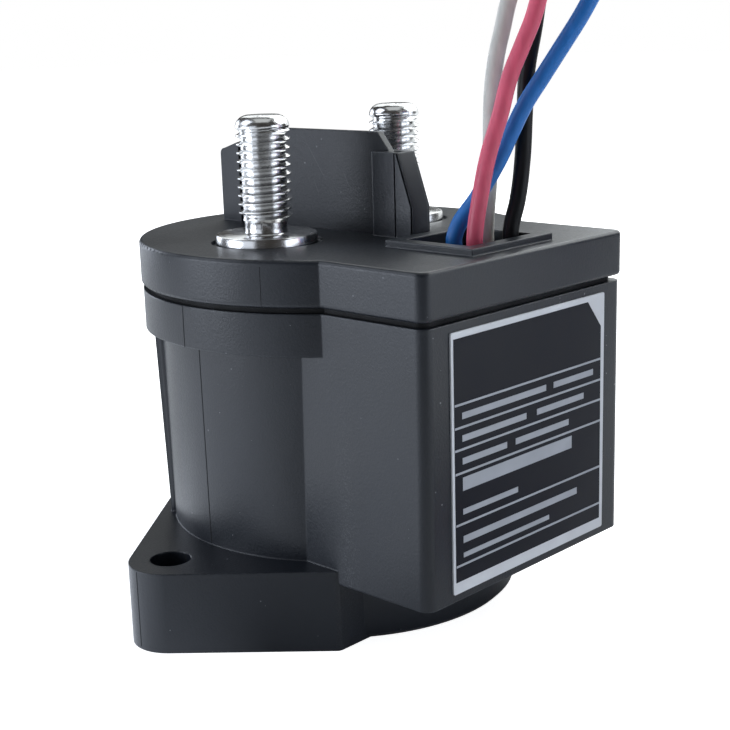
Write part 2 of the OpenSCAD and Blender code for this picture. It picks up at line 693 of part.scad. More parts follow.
module coil_bobbin() color("#2f4a3a") rotate_extrude() polygon([[bobbin_in, coil_z], [bobbin_r, coil_z],
    [bobbin_r, coil_z + bobbin_flange_t], [bobbin_in + bobbin_wall, coil_z + bobbin_flange_t],
    [bobbin_in + bobbin_wall, plate_z - bobbin_flange_t], [bobbin_r, plate_z - bobbin_flange_t],
    [bobbin_r, plate_z], [bobbin_in, plate_z]]);

module coil_winding() color("#b5713b") translate([0, 0, coil_z + bobbin_flange_t]) difference() {
    cylinder(h = coil_h - 2 * bobbin_flange_t, r = bobbin_r - winding_inset);
    translate([0, 0, -past]) cylinder(h = coil_h + past, r = bobbin_in + bobbin_wall);
}

module yoke_cup() color("#7d8186") rotate_extrude() polygon([
    [0, yoke_z], [yoke_r, yoke_z], [yoke_r, plate_z],
    [yoke_r - yoke_wall, plate_z], [yoke_r - yoke_wall, coil_z], [0, coil_z]]);

module yoke_top_plate() color("#7d8186") translate([0, 0, plate_z]) difference() {
    cylinder(h = top_plate_t, r = yoke_r);
    translate([0, 0, -past]) cylinder(h = top_plate_t + 2 * past, r = spigot_r);
}

module blowout_magnets() color("#4c4f54") for (side = [0, 1]) mirror([side, 0, 0])
    translate([chamber_half_w, -magnet_l / 2, chamber_z]) cube([magnet_t, magnet_l, magnet_h]);

module magnet_keepers() color("#888c91") for (side = [0, 1]) mirror([side, 0, 0])
    translate([chamber_half_w + magnet_t, -magnet_l / 2 - keeper_over, chamber_z])
        cube([keeper_t, magnet_l + 2 * keeper_over, magnet_h + keeper_over]);

module driver_board() color("#2e6b45") translate([board_at, -board_half_w, board_z])
    cube([board_t, 2 * board_half_w, board_h]);

// Components stand on the board's inner face above the yoke, and on its outer face below
module board_capacitor() color("#3b4250") translate([board_at, capacitor_y, board_tall_z])
    rotate([0, -90, 0]) cylinder(h = capacitor_l, r = capacitor_r);

module board_transistor() color("#1f2022") translate([board_at, transistor_y, board_tall_z]) {
    translate([-transistor_t, -transistor_w / 2, -transistor_h / 2])
        cube([transistor_t, transistor_w, transistor_h]);
    translate([-tab_t, -transistor_w / 2, transistor_h / 2]) difference() {
        cube([tab_t, transistor_w, tab_h]);
        translate([-past, transistor_w / 2, tab_h / 2]) rotate([0, 90, 0])
            cylinder(h = tab_t + 2 * past, r = tab_hole_r);
    }
}

module board_chips() color("#18191b") for (chip = chips)
    translate([board_face, chip[0], board_z + board_h * chip[1]]) cube([chip_t, chip[2], chip[3]]);

// A sealed switch capsule that lies on the arc chamber, over the plunger's magnet
module reed_switch() color("#9fb3a6") translate([0, 0, chamber_top + reed_r]) rotate([90, 0, 0]) {
    cylinder(h = reed_l, r = reed_r, center = true);
    cylinder(h = reed_l + 2 * reed_pin_l, r = reed_pin_r, center = true);
}

// Unit vector along v
function unit(v) = v / norm(v);

// Direction of a route at one of its points
function heading(route, i) = unit(i == 0 ? route[1] - route[0]
    : i == len(route) - 1 ? route[i] - route[i - 1]
    : unit(route[i + 1] - route[i]) + unit(route[i] - route[i - 1]));

// One ring of points round a route, with its seam held towards a side vector
function ring(centre, along, side, r, n) =
    let (u = unit(side - (side * along) * along), v = cross(along, u))
    [for (k = [0:n - 1]) centre + r * (cos(360 * k / n) * u + sin(360 * k / n) * v)];

// A tube of radius r along a route
module tube(route, r, side) {
    n = 8;
    last = len(route) - 1;
    points = [for (i = [0:last]) each ring(route[i], heading(route, i), side, r, n)];
    sides = [for (i = [0:last - 1], k = [0:n - 1])
        [i * n + k, (i + 1) * n + k, (i + 1) * n + (k + 1) % n, i * n + (k + 1) % n]];
    polyhedron(points, concat([[for (k = [0:n - 1]) k]], sides, [[for (k = [n - 1:-1:0]) last * n + k]]),
        convexity = 8);
}

// A coil spring between two seats
module coil_spring(r, z0, z1, turns) {
    steps = turns * 14;
    rise = z1 - z0 - 2 * spring_wire_r;
    tube([for (i = [0:steps]) [r * cos(i * 360 / 14), r * sin(i * 360 / 14),
        z0 + spring_wire_r + rise * i / steps]], spring_wire_r, [0, 0, 1]);
}

module return_spring() color("#b4b8bc")
    coil_spring(return_spring_r, spring_seat_z, core_z + core_pocket, 6);

module contact_spring() color("#b4b8bc")
    coil_spring(contact_spring_r, shaft_collar_z + shaft_collar_t, bridge_z, 3);

// A lead that starts upright on the resin and then follows its route
module lead(route) {
    spots = placed(route);
    tube(concat([[spots[0][0], spots[0][1], resin_top]], spots), lead_r, [-0.69, 0.72, 0]);
}

module lead_white() color("#e6e4df") lead(white_route);

module lead_black() color("#1a1b1d") lead(black_route);

module lead_blue() color("#2f73c4") lead(blue_route);

module lead_red() color("#e0607a") lead(red_route);

module lead_coil() color("#6a6d72") translate([coil_centre[0], coil_centre[1], coil_z0]) rotate_extrude()
    translate([coil_in, 0]) square([coil_out - coil_in, coil_wound_h]);

module lead_tips() color("#c8cacc") for (layer = [0:lead_count - 1])
    translate([strand_start[0], strand_start[1], layer_z(layer)])
        rotate([0, 90, atan2(strand_heading[1], strand_heading[0])])
            cylinder(h = strand_l, r = strand_r, $fn = 24);

// A band round the coil, seen at the side that points away from the body
module lead_tie() color("#202124") translate([coil_centre[0], coil_centre[1], 0])
    rotate(-tie_angle / 2) rotate_extrude(angle = tie_angle) translate([coil_in - tie_t, 0]) difference() {
        square([coil_out - coil_in + 2 * tie_t, coil_wound_h + 2 * tie_t]);
        translate([tie_t, tie_t]) square([coil_out - coil_in, coil_wound_h]);
    }

housing();
lid();
lid_seal();
barrier_plate();
terminal_stud_front();
terminal_stud_rear();
stud_seals();
rating_plate();
resin_seal();
arc_chamber();
fixed_contact_tips();
contact_bridge();
bridge_contact_tips();
contact_spring();
contact_shaft();
shaft_clip();
aux_magnet();
armature();
return_spring();
fixed_core();
guide_tube();
stop_pad();
coil_bobbin();
coil_winding();
yoke_cup();
yoke_top_plate();
blowout_magnets();
magnet_keepers();
driver_board();
board_capacitor();
board_transistor();
board_chips();
reed_switch();
lead_white();
lead_black();
lead_blue();
lead_red();
lead_coil();
lead_tips();
lead_tie();
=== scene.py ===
"""Looks of a sealed high voltage DC contactor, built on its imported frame.

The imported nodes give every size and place. The mouldings are copied from their nodes, shaded smooth and given
soft edges, the studs get real threads, the plate gets its printed fields and the leads become smooth cords.
"""

import logging
import math
from dataclasses import dataclass
from enum import Enum
from typing import Iterable, Sequence, Union

import bmesh
import bpy
from mathutils import Matrix, Vector


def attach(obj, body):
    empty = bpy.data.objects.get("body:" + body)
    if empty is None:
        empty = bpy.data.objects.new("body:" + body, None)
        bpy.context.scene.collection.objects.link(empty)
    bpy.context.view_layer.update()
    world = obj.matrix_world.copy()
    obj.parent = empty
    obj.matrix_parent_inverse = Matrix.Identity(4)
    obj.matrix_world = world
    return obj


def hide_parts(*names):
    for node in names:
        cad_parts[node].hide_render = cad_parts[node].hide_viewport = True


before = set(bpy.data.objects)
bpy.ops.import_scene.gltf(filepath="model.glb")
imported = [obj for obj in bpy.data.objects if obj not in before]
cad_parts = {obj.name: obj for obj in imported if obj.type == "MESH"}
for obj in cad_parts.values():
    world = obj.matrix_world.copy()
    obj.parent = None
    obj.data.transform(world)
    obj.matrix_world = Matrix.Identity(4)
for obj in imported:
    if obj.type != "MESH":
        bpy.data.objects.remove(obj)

LOG = logging.getLogger("contactor")
MM = 0.001
BASE = "base"

Colour = tuple[float, float, float]
Point = tuple[float, float, float]
Term = Union[bpy.types.NodeSocket, float, tuple]


def tone(red: float, green: float, blue: float) -> Colour:
    """Turn a colour written as 0 to 255 on a screen into linear light.

    Args:
        red: Red value on the screen.
        green: Green value on the screen.
        blue: Blue value on the screen.

    Returns:
        The three values in linear light, from 0 to 1.
    """
    parts = (value / 255.0 for value in (red, green, blue))
    return tuple(part / 12.92 if part <= 0.04045 else ((part + 0.055) / 1.055) ** 2.4 for part in parts)


class Graph:
    """A node tree with short ways to add nodes and join them."""

    def __init__(self, tree: bpy.types.NodeTree) -> None:
        """Keep the tree that the nodes go into."""
        self.tree = tree

    def add(self, kind: str, **settings: object) -> bpy.types.Node:
        """Add one node.

        Args:
            kind: Type name of the node.
            settings: Properties to set on the node.

        Returns:
            The new node.
        """
        node = self.tree.nodes.new(kind)
        for key, value in settings.items():
            setattr(node, key, value)
        return node

    def feed(self, socket: bpy.types.NodeSocket, term: Term) -> None:
        """Join a socket to another one, or give it a constant value."""
        if isinstance(term, bpy.types.NodeSocket):
            self.tree.links.new(term, socket)
        else:
            socket.default_value = term

    def math(self, operation: str, *terms: Term) -> bpy.types.NodeSocket:
        """Add a math node and return its result."""
        node = self.add("ShaderNodeMath", operation=operation)
        for socket, term in zip(node.inputs, terms):
            self.feed(socket, term)
        return node.outputs[0]

    def product(self, first: Term, *others: Term) -> Term:
        """Multiply any number of values."""
        for term in others:
            first = self.math("MULTIPLY", first, term)
        return first

    def axes(self, vector: Term) -> list[bpy.types.NodeSocket]:
        """Split a vector into its parts along X, Y and Z."""
        node = self.add("ShaderNodeSeparateXYZ")
        self.feed(node.inputs[0], vector)
        return node.outputs[:]

    def dot(self, first: Term, second: Term) -> bpy.types.NodeSocket:
        """Return the dot product of two vectors."""
        node = self.add("ShaderNodeVectorMath", operation="DOT_PRODUCT")
        self.feed(node.inputs[0], first)
        self.feed(node.inputs[1], second)
        return node.outputs["Value"]

    def scaled(self, vector: Term, factors: Point) -> bpy.types.NodeSocket:
        """Multiply a vector by fixed factors along its three axes."""
        node = self.add("ShaderNodeVectorMath", operation="MULTIPLY")
        self.feed(node.inputs[0], vector)
        self.feed(node.inputs[1], factors)
        return node.outputs[0]

    def noise(self, vector: Term, scale: Term, detail: float = 2.0) -> bpy.types.NodeSocket:
        """Add a noise texture and return its value, which lies round 0.5."""
        node = self.add("ShaderNodeTexNoise")
        self.feed(node.inputs["Vector"], vector)
        self.feed(node.inputs["Scale"], scale)
        self.feed(node.inputs["Detail"], detail)
        return node.outputs["Fac"]

    def spread(self, value: Term, low: float, high: float, bottom: Term, top: Term) -> bpy.types.NodeSocket:
        """Map a value from one range to another, clamped at both ends."""
        node = self.add("ShaderNodeMapRange")
        for name, term in (("Value", value), ("From Min", low), ("From Max", high),
                           ("To Min", bottom), ("To Max", top)):
            self.feed(node.inputs[name], term)
        return node.outputs["Result"]

    def blend(self, factor: Term, first: Term, second: Term) -> bpy.types.NodeSocket:
        """Mix two colours by a factor."""
        node = self.add("ShaderNodeMix", data_type="RGBA")
        self.feed(node.inputs[0], factor)
        for socket, term in ((node.inputs[6], first), (node.inputs[7], second)):
            self.feed(socket, (*term, 1.0) if isinstance(term, tuple) else term)
        return node.outputs[2]


class Effect(Enum):
    """Surface effects that several finishes share."""

    GRAIN = "surface_grain"
    SPECKS = "dust_specks"
    EDGES = "soft_edges"


class Effects:
    """Builds each shared effect as a node group, once."""

    @classmethod
    def group(cls, effect: Effect) -> bpy.types.NodeTree:
        """Return the node group of an effect."""
        made = bpy.data.node_groups.get(effect.value)
        if made is not None:
            return made
        makers = {Effect.GRAIN: cls._grain, Effect.SPECKS: cls._specks, Effect.EDGES: cls._edges}
        return makers[effect](effect.value)

    @staticmethod
    def _open(name: str, inputs: dict[str, str], outputs: dict[str, str]) -> tuple[Graph, dict, dict]:
        """Start a group and return its graph, its inputs and its outputs by name."""
        tree = bpy.data.node_groups.new(name, "ShaderNodeTree")
        for label, kind in inputs.items():
            tree.interface.new_socket(label, in_out="INPUT", socket_type=f"NodeSocket{kind}")
        for label, kind in outputs.items():
            tree.interface.new_socket(label, in_out="OUTPUT", socket_type=f"NodeSocket{kind}")
        graph = Graph(tree)
        entry = graph.add("NodeGroupInput")
        leave = graph.add("NodeGroupOutput")
        entries = {label: entry.outputs[label] for label in inputs}
        leaves = {label: leave.inputs[label] for label in outputs}
        return graph, entries, leaves

    @classmethod
    def _grain(cls, name: str) -> bpy.types.NodeTree:
        """Fine moulded grain, with a slow change of shade."""
        graph, source, result = cls._open(
            name, {"Vector": "Vector", "Size": "Float"}, {"Height": "Float", "Shade": "Float"})
        density = graph.math("DIVIDE", 1.0, source["Size"])
        graph.feed(result["Height"], graph.noise(source["Vector"], density, 3.0))
        graph.feed(result["Shade"], graph.noise(source["Vector"], graph.math("MULTIPLY", density, 0.02), 4.0))
        return graph.tree

    @classmethod
    def _specks(cls, name: str) -> bpy.types.NodeTree:
        """Small round specks of dust, thicker in some places than in others."""
        graph, source, result = cls._open(
            name, {"Vector": "Vector", "Size": "Float", "Share": "Float"}, {"Mask": "Float"})
        cells = graph.add("ShaderNodeTexVoronoi")
        graph.feed(cells.inputs["Vector"], source["Vector"])
        graph.feed(cells.inputs["Scale"], graph.math("DIVIDE", 1.0, source["Size"]))
        split = graph.add("ShaderNodeSeparateColor")
        graph.feed(split.inputs[0], cells.outputs["Color"])
        chosen = graph.math("LESS_THAN", split.outputs[0], source["Share"])
        reach = graph.spread(split.outputs[1], 0.0, 1.0, 0.08, 0.3)
        inside = graph.math("LESS_THAN", cells.outputs["Distance"], reach)
        patch = graph.spread(graph.noise(source["Vector"], 90.0, 3.0), 0.42, 0.62, 0.15, 1.0)
        graph.feed(result["Mask"], graph.product(chosen, inside, patch))
        return graph.tree

    @classmethod
    def _edges(cls, name: str) -> bpy.types.NodeTree:
        """Rounded normals along sharp edges, and a patchy mask along them for a painted edge highlight."""
        graph, source, result = cls._open(
            name, {"Vector": "Vector", "Radius": "Float"}, {"Normal": "Vector", "Mask": "Float"})
        soft = graph.add("ShaderNodeBevel", samples=6)
        graph.feed(soft.inputs["Radius"], source["Radius"])
        shape = graph.add("ShaderNodeNewGeometry")
        turn = graph.dot(soft.outputs["Normal"], shape.outputs["Normal"])
        # Mask for a painted highlight: 1 where the rounded normal turns away from the mesh normal, made patchy
        # by noise.
        edge = graph.spread(turn, 0.99, 0.9, 0.0, 1.0)
        highlight_patches = graph.spread(graph.noise(source["Vector"], 700.0, 3.0), 0.4, 0.7, 0.2, 1.0)
        graph.feed(result["Normal"], soft.outputs["Normal"])
        graph.feed(result["Mask"], graph.math("MULTIPLY", edge, highlight_patches))
        return graph.tree


@dataclass(frozen=True)
class Finish:
    """A surface finish that makes its material at its first use."""

    name: str
    colour: Colour
    roughness: float

    def material(self) -> bpy.types.Material:
        """Return the finish's material."""
        title = f"look_{self.name}"
        made = bpy.data.materials.get(title)
        if made is None:
            made = bpy.data.materials.new(title)
            made.use_nodes = True
            made.diffuse_color = (*self.colour, 1.0)
            graph = Graph(made.node_tree)
            surface = made.node_tree.nodes["Principled BSDF"]
            place = graph.add("ShaderNodeTexCoord").outputs["Object"]
            self.dress(graph, surface, place)
        return made

    def dress(self, graph: Graph, surface: bpy.types.Node, place: bpy.types.NodeSocket) -> None:
        """Join the nodes of the finish to the surface shader.

        Args:
            graph: The material's node tree.
            surface: The shader that the nodes feed.
            place: Coordinates of the point, in metres in the part's frame.
        """
        shade = graph.spread(graph.noise(place, 160.0, 3.0), 0.3, 0.7, 0.0, 1.0)
        darker = tuple(0.88 * part for part in self.colour)
        graph.feed(surface.inputs["Base Color"], graph.blend(shade, darker, self.colour))
        graph.feed(surface.inputs["Roughness"],
                   graph.spread(shade, 0.0, 1.0, self.roughness * 0.9, min(1.0, self.roughness * 1.1)))

    @staticmethod
    def relief(graph: Graph, surface: bpy.types.Node, height: Term, depth: float,
               normal: bpy.types.NodeSocket | None = None) -> None:
        """Turn a height into small relief on the surface.

        Args:
            graph: The material's node tree.
            surface: The shader that gets the relief.
            height: The height, from 0 to 1.
            depth: Depth of the relief, in metres.
            normal: Normals that the relief starts from, if not those of the mesh.
        """
        bump = graph.add("ShaderNodeBump")
        bump.inputs["Distance"].default_value = depth
        bump.inputs["Strength"].default_value = 0.3
        graph.feed(bump.inputs["Height"], height)
        if normal is not None:
            graph.feed(bump.inputs["Normal"], normal)
        graph.feed(surface.inputs["Normal"], bump.outputs["Normal"])


@dataclass(frozen=True)
class PartingLine:
    """A fine upright line where two halves of the mould met, on both sides of the part."""

    x: float
    bottom: float
    top: float
    half_width: float = 0.13 * MM


@dataclass(frozen=True)
class Scratch:
    """A pale straight scratch on an upright face, from one X and Z to another."""

    start: tuple[float, float]
    end: tuple[float, float]
    half_width: float = 0.1 * MM


@dataclass(frozen=True)
class DustBand:
    """An upright band of thicker dust, on the face beyond the given place along Y."""

    left: float
    right: float
    bottom: float
    top: float
    face: float
    share: float = 0.16
    fleck: float = 0.22 * MM


@dataclass(frozen=True)
class Moulding(Finish):
    """Dark moulded plastic with fine grain, a little dust, painted highlights along its edges and its mould's
    parting lines.
    """

    gloss: float = 0.45
    edge: float = 0.35 * MM
    grain: float = 0.34 * MM
    relief_depth: float = 0.09 * MM
    dust: float = 0.012
    speck: float = 0.55 * MM
    mottle: float = 0.07
    # Pale grey painted along sharp edges as a highlight.
    edge_highlight: Colour = tone(104, 108, 116)
    dusty: Colour = tone(150, 152, 156)
    creased: Colour = tone(6, 7, 9)
    scratched: Colour = tone(120, 124, 130)
    lines: tuple[PartingLine, ...] = ()
    scratches: tuple[Scratch, ...] = ()
    bands: tuple[DustBand, ...] = ()

    def dress(self, graph: Graph, surface: bpy.types.Node, place: bpy.types.NodeSocket) -> None:
        """Join grain, dust, painted edge highlights, parting lines and scratches to the shader."""
        grain = graph.add("ShaderNodeGroup", node_tree=Effects.group(Effect.GRAIN))
        graph.feed(grain.inputs["Vector"], place)
        graph.feed(grain.inputs["Size"], self.grain)
        specks = graph.add("ShaderNodeGroup", node_tree=Effects.group(Effect.SPECKS))
        graph.feed(specks.inputs["Vector"], place)
        graph.feed(specks.inputs["Size"], self.speck)
        graph.feed(specks.inputs["Share"], self.dust)
        edges = graph.add("ShaderNodeGroup", node_tree=Effects.group(Effect.EDGES))
        graph.feed(edges.inputs["Vector"], place)
        graph.feed(edges.inputs["Radius"], self.edge)

        shade = graph.spread(grain.outputs["Shade"], 0.35, 0.65, 0.0, 1.0)
        darker = tuple(0.9 * part for part in self.colour)
        lighter = tuple(1.08 * part for part in self.colour)
        colour = graph.blend(shade, darker, lighter)
        # Painted highlight: sharp edges are lightened towards a pale grey.
        colour = graph.blend(graph.product(edges.outputs["Mask"], 0.3), colour, self.edge_highlight)
        colour = graph.blend(graph.product(specks.outputs["Mask"], 0.55), colour, self.dusty)
        for band in self.bands:
            mask = self._band_mask(graph, place, band)
            colour = graph.blend(graph.product(mask, band.share), colour, self.dusty)
        crease: Term = 0.0
        for line in self.lines:
            crease = graph.math("MAXIMUM", crease, self._line_mask(graph, place, line))
        colour = graph.blend(graph.product(crease, 0.9), colour, self.creased)
        for scratch in self.scratches:
            mask = self._scratch_mask(graph, place, scratch)
            colour = graph.blend(graph.product(mask, 0.16), colour, self.scratched)
        graph.feed(surface.inputs["Base Color"], colour)
        spots = graph.spread(grain.outputs["Height"], 0.3, 0.7, 0.0, 1.0)
        dulled = graph.spread(graph.math("ADD", shade, spots), 0.0, 2.0,
                              self.roughness - self.mottle, self.roughness + self.mottle)
        graph.feed(surface.inputs["Roughness"], graph.math("MAXIMUM", dulled, crease))
        surface.inputs["Specular IOR Level"].default_value = self.gloss
        self.relief(graph, surface, grain.outputs["Height"], self.relief_depth, edges.outputs["Normal"])

    @staticmethod
    def _band_mask(graph: Graph, place: bpy.types.NodeSocket, band: DustBand) -> bpy.types.NodeSocket:
        """Return patchy fine dust inside an upright band on the face that looks towards -Y."""
        x, y, z = graph.axes(place)
        across = graph.math("ABSOLUTE", graph.math("SUBTRACT", x, (band.left + band.right) / 2))
        inside = graph.spread(across, 0.0, (band.right - band.left) / 2, 1.0, 0.0)
        faded = graph.spread(z, band.bottom, band.top, 1.0, 0.0)
        on_face = graph.math("LESS_THAN", y, band.face)
        fine = graph.spread(graph.noise(place, 1.0 / band.fleck, 1.0), 0.5, 0.7, 0.0, 1.0)
        return graph.product(inside, faded, on_face, fine)

    @staticmethod
    def _scratch_mask(graph: Graph, place: bpy.types.NodeSocket, scratch: Scratch) -> bpy.types.NodeSocket:
        """Return 1 on a scratch, fading out towards its ends and sides."""
        way = Vector(scratch.end) - Vector(scratch.start)
        length = way.length
        way.normalize()
        x, _, z = graph.axes(place)
        x = graph.math("SUBTRACT", x, scratch.start[0])
        z = graph.math("SUBTRACT", z, scratch.start[1])
        along = graph.math("ADD", graph.product(x, way.x), graph.product(z, way.y))
        beside = graph.math("SUBTRACT", graph.product(z, way.x), graph.product(x, way.y))
        near = graph.spread(graph.math("ABSOLUTE", beside), 0.0, scratch.half_width, 1.0, 0.0)
        middle = graph.math("ABSOLUTE", graph.math("SUBTRACT", along, length / 2))
        return graph.product(near, graph.spread(middle, length * 0.3, length * 0.5, 1.0, 0.0))

    @staticmethod
    def _line_mask(graph: Graph, place: bpy.types.NodeSocket, line: PartingLine) -> bpy.types.NodeSocket:
        """Return 1 on a parting line and 0 beside it."""
        x, _, z = graph.axes(place)
        across = graph.math("ABSOLUTE", graph.math("SUBTRACT", x, line.x))
        near = graph.spread(across, line.half_width * 0.5, line.half_width * 1.5, 1.0, 0.0)
        above = graph.math("GREATER_THAN", z, line.bottom)
        below = graph.math("LESS_THAN", z, line.top)
        return graph.product(near, above, below)


@dataclass(frozen=True)
class Metal(Finish):
    """Bare or plated metal with fine turned rings or smears in its gloss."""

    smear: float = 0.06

    def dress(self, graph: Graph, surface: bpy.types.Node, place: bpy.types.NodeSocket) -> None:
        """Join smears and a slight change of tone to the shader."""
        cloud = graph.noise(place, 420.0, 4.0)
        rings = graph.noise(graph.scaled(place, (30.0, 30.0, 9000.0)), 1.0, 2.0)
        darker = tuple(0.9 * part for part in self.colour)
        colour = graph.blend(graph.spread(cloud, 0.35, 0.7, 0.0, 1.0), darker, self.colour)
        rough = graph.math("ADD", graph.spread(cloud, 0.3, 0.7, -self.smear, self.smear), self.roughness)
        graph.feed(surface.inputs["Base Color"], colour)
        graph.feed(surface.inputs["Roughness"], rough)
        surface.inputs["Metallic"].default_value = 1.0
        self.relief(graph, surface, rings, 0.008 * MM)


@dataclass(frozen=True)
class Ink(Finish):
    """Flat printed ink with little gloss."""

    gloss: float = 0.2

    def dress(self, graph: Graph, surface: bpy.types.Node, place: bpy.types.NodeSocket) -> None:
        """Join a slight change of tone to the shader."""
        super().dress(graph, surface, place)
        surface.inputs["Specular IOR Level"].default_value = self.gloss


@dataclass(frozen=True)
class Insulation(Finish):
    """Soft lead insulation, with light rub marks."""

    gloss: float = 0.35

    def dress(self, graph: Graph, surface: bpy.types.Node, place: bpy.types.NodeSocket) -> None:
        """Join rub marks and a slight change of tone to the shader."""
        streaks = graph.noise(graph.scaled(place, (900.0, 900.0, 260.0)), 1.0, 3.0)
        rub = graph.spread(streaks, 0.4, 0.65, 0.0, 1.0)
        darker = tuple(0.86 * part for part in self.colour)
        graph.feed(surface.inputs["Base Color"], graph.blend(rub, darker, self.colour))
        graph.feed(surface.inputs["Roughness"],
                   graph.spread(rub, 0.0, 1.0, self.roughness - 0.06, self.roughness + 0.08))
        surface.inputs["Specular IOR Level"].default_value = self.gloss
        self.relief(graph, surface, rub, 0.01 * MM)


class Finishes:
    """Every finish of the part."""

    HOUSING = Moulding(
        "moulded_housing", tone(27, 31, 38), 0.35,
        lines=(PartingLine(-1.9 * MM, 0.4 * MM, 12.0 * MM), PartingLine(-1.45 * MM, 12.4 * MM, 43.2 * MM),
               PartingLine(-1.6 * MM, 43.2 * MM, 49.4 * MM)),
        bands=(DustBand(20.4 * MM, 25.8 * MM, 10.0 * MM, 42.0 * MM, -18.3 * MM),))
    LID = Moulding("moulded_lid", tone(27, 31, 38), 0.35,
                   lines=(PartingLine(12.5 * MM, 50.3 * MM, 56.0 * MM, 0.05 * MM),))
    BARRIER = Moulding(
        "moulded_barrier", tone(25, 28, 34), 0.38, gloss=0.38, dust=0.02,
        scratches=(Scratch((-4.9 * MM, 70.1 * MM), (-0.8 * MM, 64.3 * MM)),
                   Scratch((-3.6 * MM, 64.5 * MM), (-2.6 * MM, 62.2 * MM)),
                   Scratch((2.4 * MM, 66.8 * MM), (4.6 * MM, 62.9 * MM), 0.07 * MM)))
    RUBBER = Finish("seal_rubber", tone(9, 9, 11), 0.75)
    RESIN = Finish("cast_resin", tone(18, 18, 20), 0.3)
    TERMINAL = Metal("plated_terminal", (0.78, 0.78, 0.775), 0.22)
    FILM = Finish("plate_film", tone(222, 225, 230), 0.42)
    PANEL = Ink("plate_panel", tone(11, 15, 27), 0.4)
    PRINT = Ink("plate_print", tone(176, 180, 188), 0.45)
    CERAMIC = Finish("arc_ceramic", tone(232, 226, 214), 0.6)
    SILVER = Metal("contact_silver", (0.75, 0.74, 0.71), 0.35)
    COPPER = Metal("bare_copper", (0.76, 0.42, 0.26), 0.32)
    SPRING = Metal("spring_steel", (0.62, 0.63, 0.64), 0.28)
    STEEL = Metal("turned_steel", (0.6, 0.61, 0.62), 0.3)
    IRON = Metal("plated_iron", (0.5, 0.5, 0.5), 0.38)
    MAGNET = Finish("sintered_magnet", tone(92, 94, 97), 0.5)
    NYLON = Finish("bobbin_nylon", tone(58, 92, 74), 0.5)
    ENAMEL = Metal("enamelled_wire", (0.56, 0.26, 0.11), 0.35)
    BOARD = Finish("board_mask", tone(34, 104, 66), 0.4)
    CASE = Finish("component_case", tone(30, 31, 33), 0.5)
    CAN = Metal("capacitor_can", (0.2, 0.22, 0.28), 0.35)
    GLASS = Finish("reed_capsule", tone(150, 172, 160), 0.15)
    STRAND = Metal("tinned_strand", (0.74, 0.74, 0.73), 0.3)
    TIE = Finish("tie_nylon", tone(28, 28, 30), 0.45)
    WHITE = Insulation("white_insulation", tone(216, 214, 207), 0.45)
    BLACK = Insulation("black_insulation", tone(21, 22, 24), 0.45, 0.2)
    BLUE = Insulation("blue_insulation", tone(46, 124, 206), 0.42)
    RED = Insulation("red_insulation", tone(232, 98, 124), 0.42)


class Shape:
    """Short ways to make pieces from meshes."""

    @staticmethod
    def piece(bm: bmesh.types.BMesh, name: str, finish: Finish,
              smooth_below: float = 40.0) -> bpy.types.Object:
        """Turn a mesh under construction into a piece that rides on the base.

        Args:
            bm: The mesh, which is freed.
            name: Name of the piece.
            finish: Its finish.
            smooth_below: Angle in degrees under which edges are shaded smooth.

        Returns:
            The new object.
        """
        bmesh.ops.recalc_face_normals(bm, faces=bm.faces)
        mesh = bpy.data.meshes.new(name)
        bm.to_mesh(mesh)
        bm.free()
        mesh.materials.append(finish.material())
        stored = mesh.attributes.get("custom_normal")
        if stored is not None:
            mesh.attributes.remove(stored)
        mesh.shade_smooth()
        mesh.set_sharp_from_angle(angle=math.radians(smooth_below))
        made = bpy.data.objects.new(name, mesh)
        bpy.context.scene.collection.objects.link(made)
        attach(made, BASE)
        return made

    @staticmethod
    def prism(bm: bmesh.types.BMesh, outline: Sequence[tuple[float, float]], start: float,
              depth: float) -> None:
        """Add a flat prism that faces +X.

        Args:
            bm: The mesh to add to.
            outline: Corners as Y and Z, in millimetres.
            start: X of its rear face, in millimetres.
            depth: Its thickness along X, in millimetres.
        """
        rear = [bm.verts.new((start * MM, y * MM, z * MM)) for y, z in outline]
        face = bm.faces.new(rear)
        grown = bmesh.ops.extrude_face_region(bm, geom=[face])
        moved = [item for item in grown["geom"] if isinstance(item, bmesh.types.BMVert)]
        bmesh.ops.translate(bm, vec=(depth * MM, 0.0, 0.0), verts=moved)

    @staticmethod
    def block(bm: bmesh.types.BMesh, low: Point, high: Point) -> None:
        """Add a box between two corners, in millimetres."""
        size = [(top - bottom) * MM for bottom, top in zip(low, high)]
        middle = [(top + bottom) * MM / 2 for bottom, top in zip(low, high)]
        bmesh.ops.create_cube(bm, size=1.0, matrix=Matrix.Translation(middle) @ Matrix.Diagonal((*size, 1.0)))


@dataclass
class SmoothMoulding:
    """A moulded node, copied, joined and shaded smooth."""

    node: str
    finish: Finish
    sharp_above: float = 28.0
    soft_at: tuple[float, ...] = ()
    soft_beyond: float = 27.8

    def _soften(self, mesh: bpy.types.Mesh) -> None:
        """Shade long upright edges on the round wall smooth at some azimuths."""
        for edge in mesh.edges:
            low, high = (mesh.vertices[index].co / MM for index in edge.vertices)
            if abs(low.z - high.z) > 10.0 and min(low.xy.length, high.xy.length) > self.soft_beyond:
                azimuth = math.degrees(math.atan2(low.y, low.x))
                if any(abs(azimuth - wanted) < 0.5 for wanted in self.soft_at):
                    edge.use_edge_sharp = False

    def build(self) -> bpy.types.Object:
        """Return the piece that stands in for the node."""
        bm = bmesh.new()
        bm.from_mesh(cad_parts[self.node].data)
        bmesh.ops.remove_doubles(bm, verts=bm.verts, dist=1e-6)
        made = Shape.piece(bm, f"smooth_{self.node}", self.finish, smooth_below=self.sharp_above)
        self._soften(made.data)
        even = made.modifiers.new("even_normals", "WEIGHTED_NORMAL")
        even.keep_sharp = True
        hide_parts(self.node)
        return made


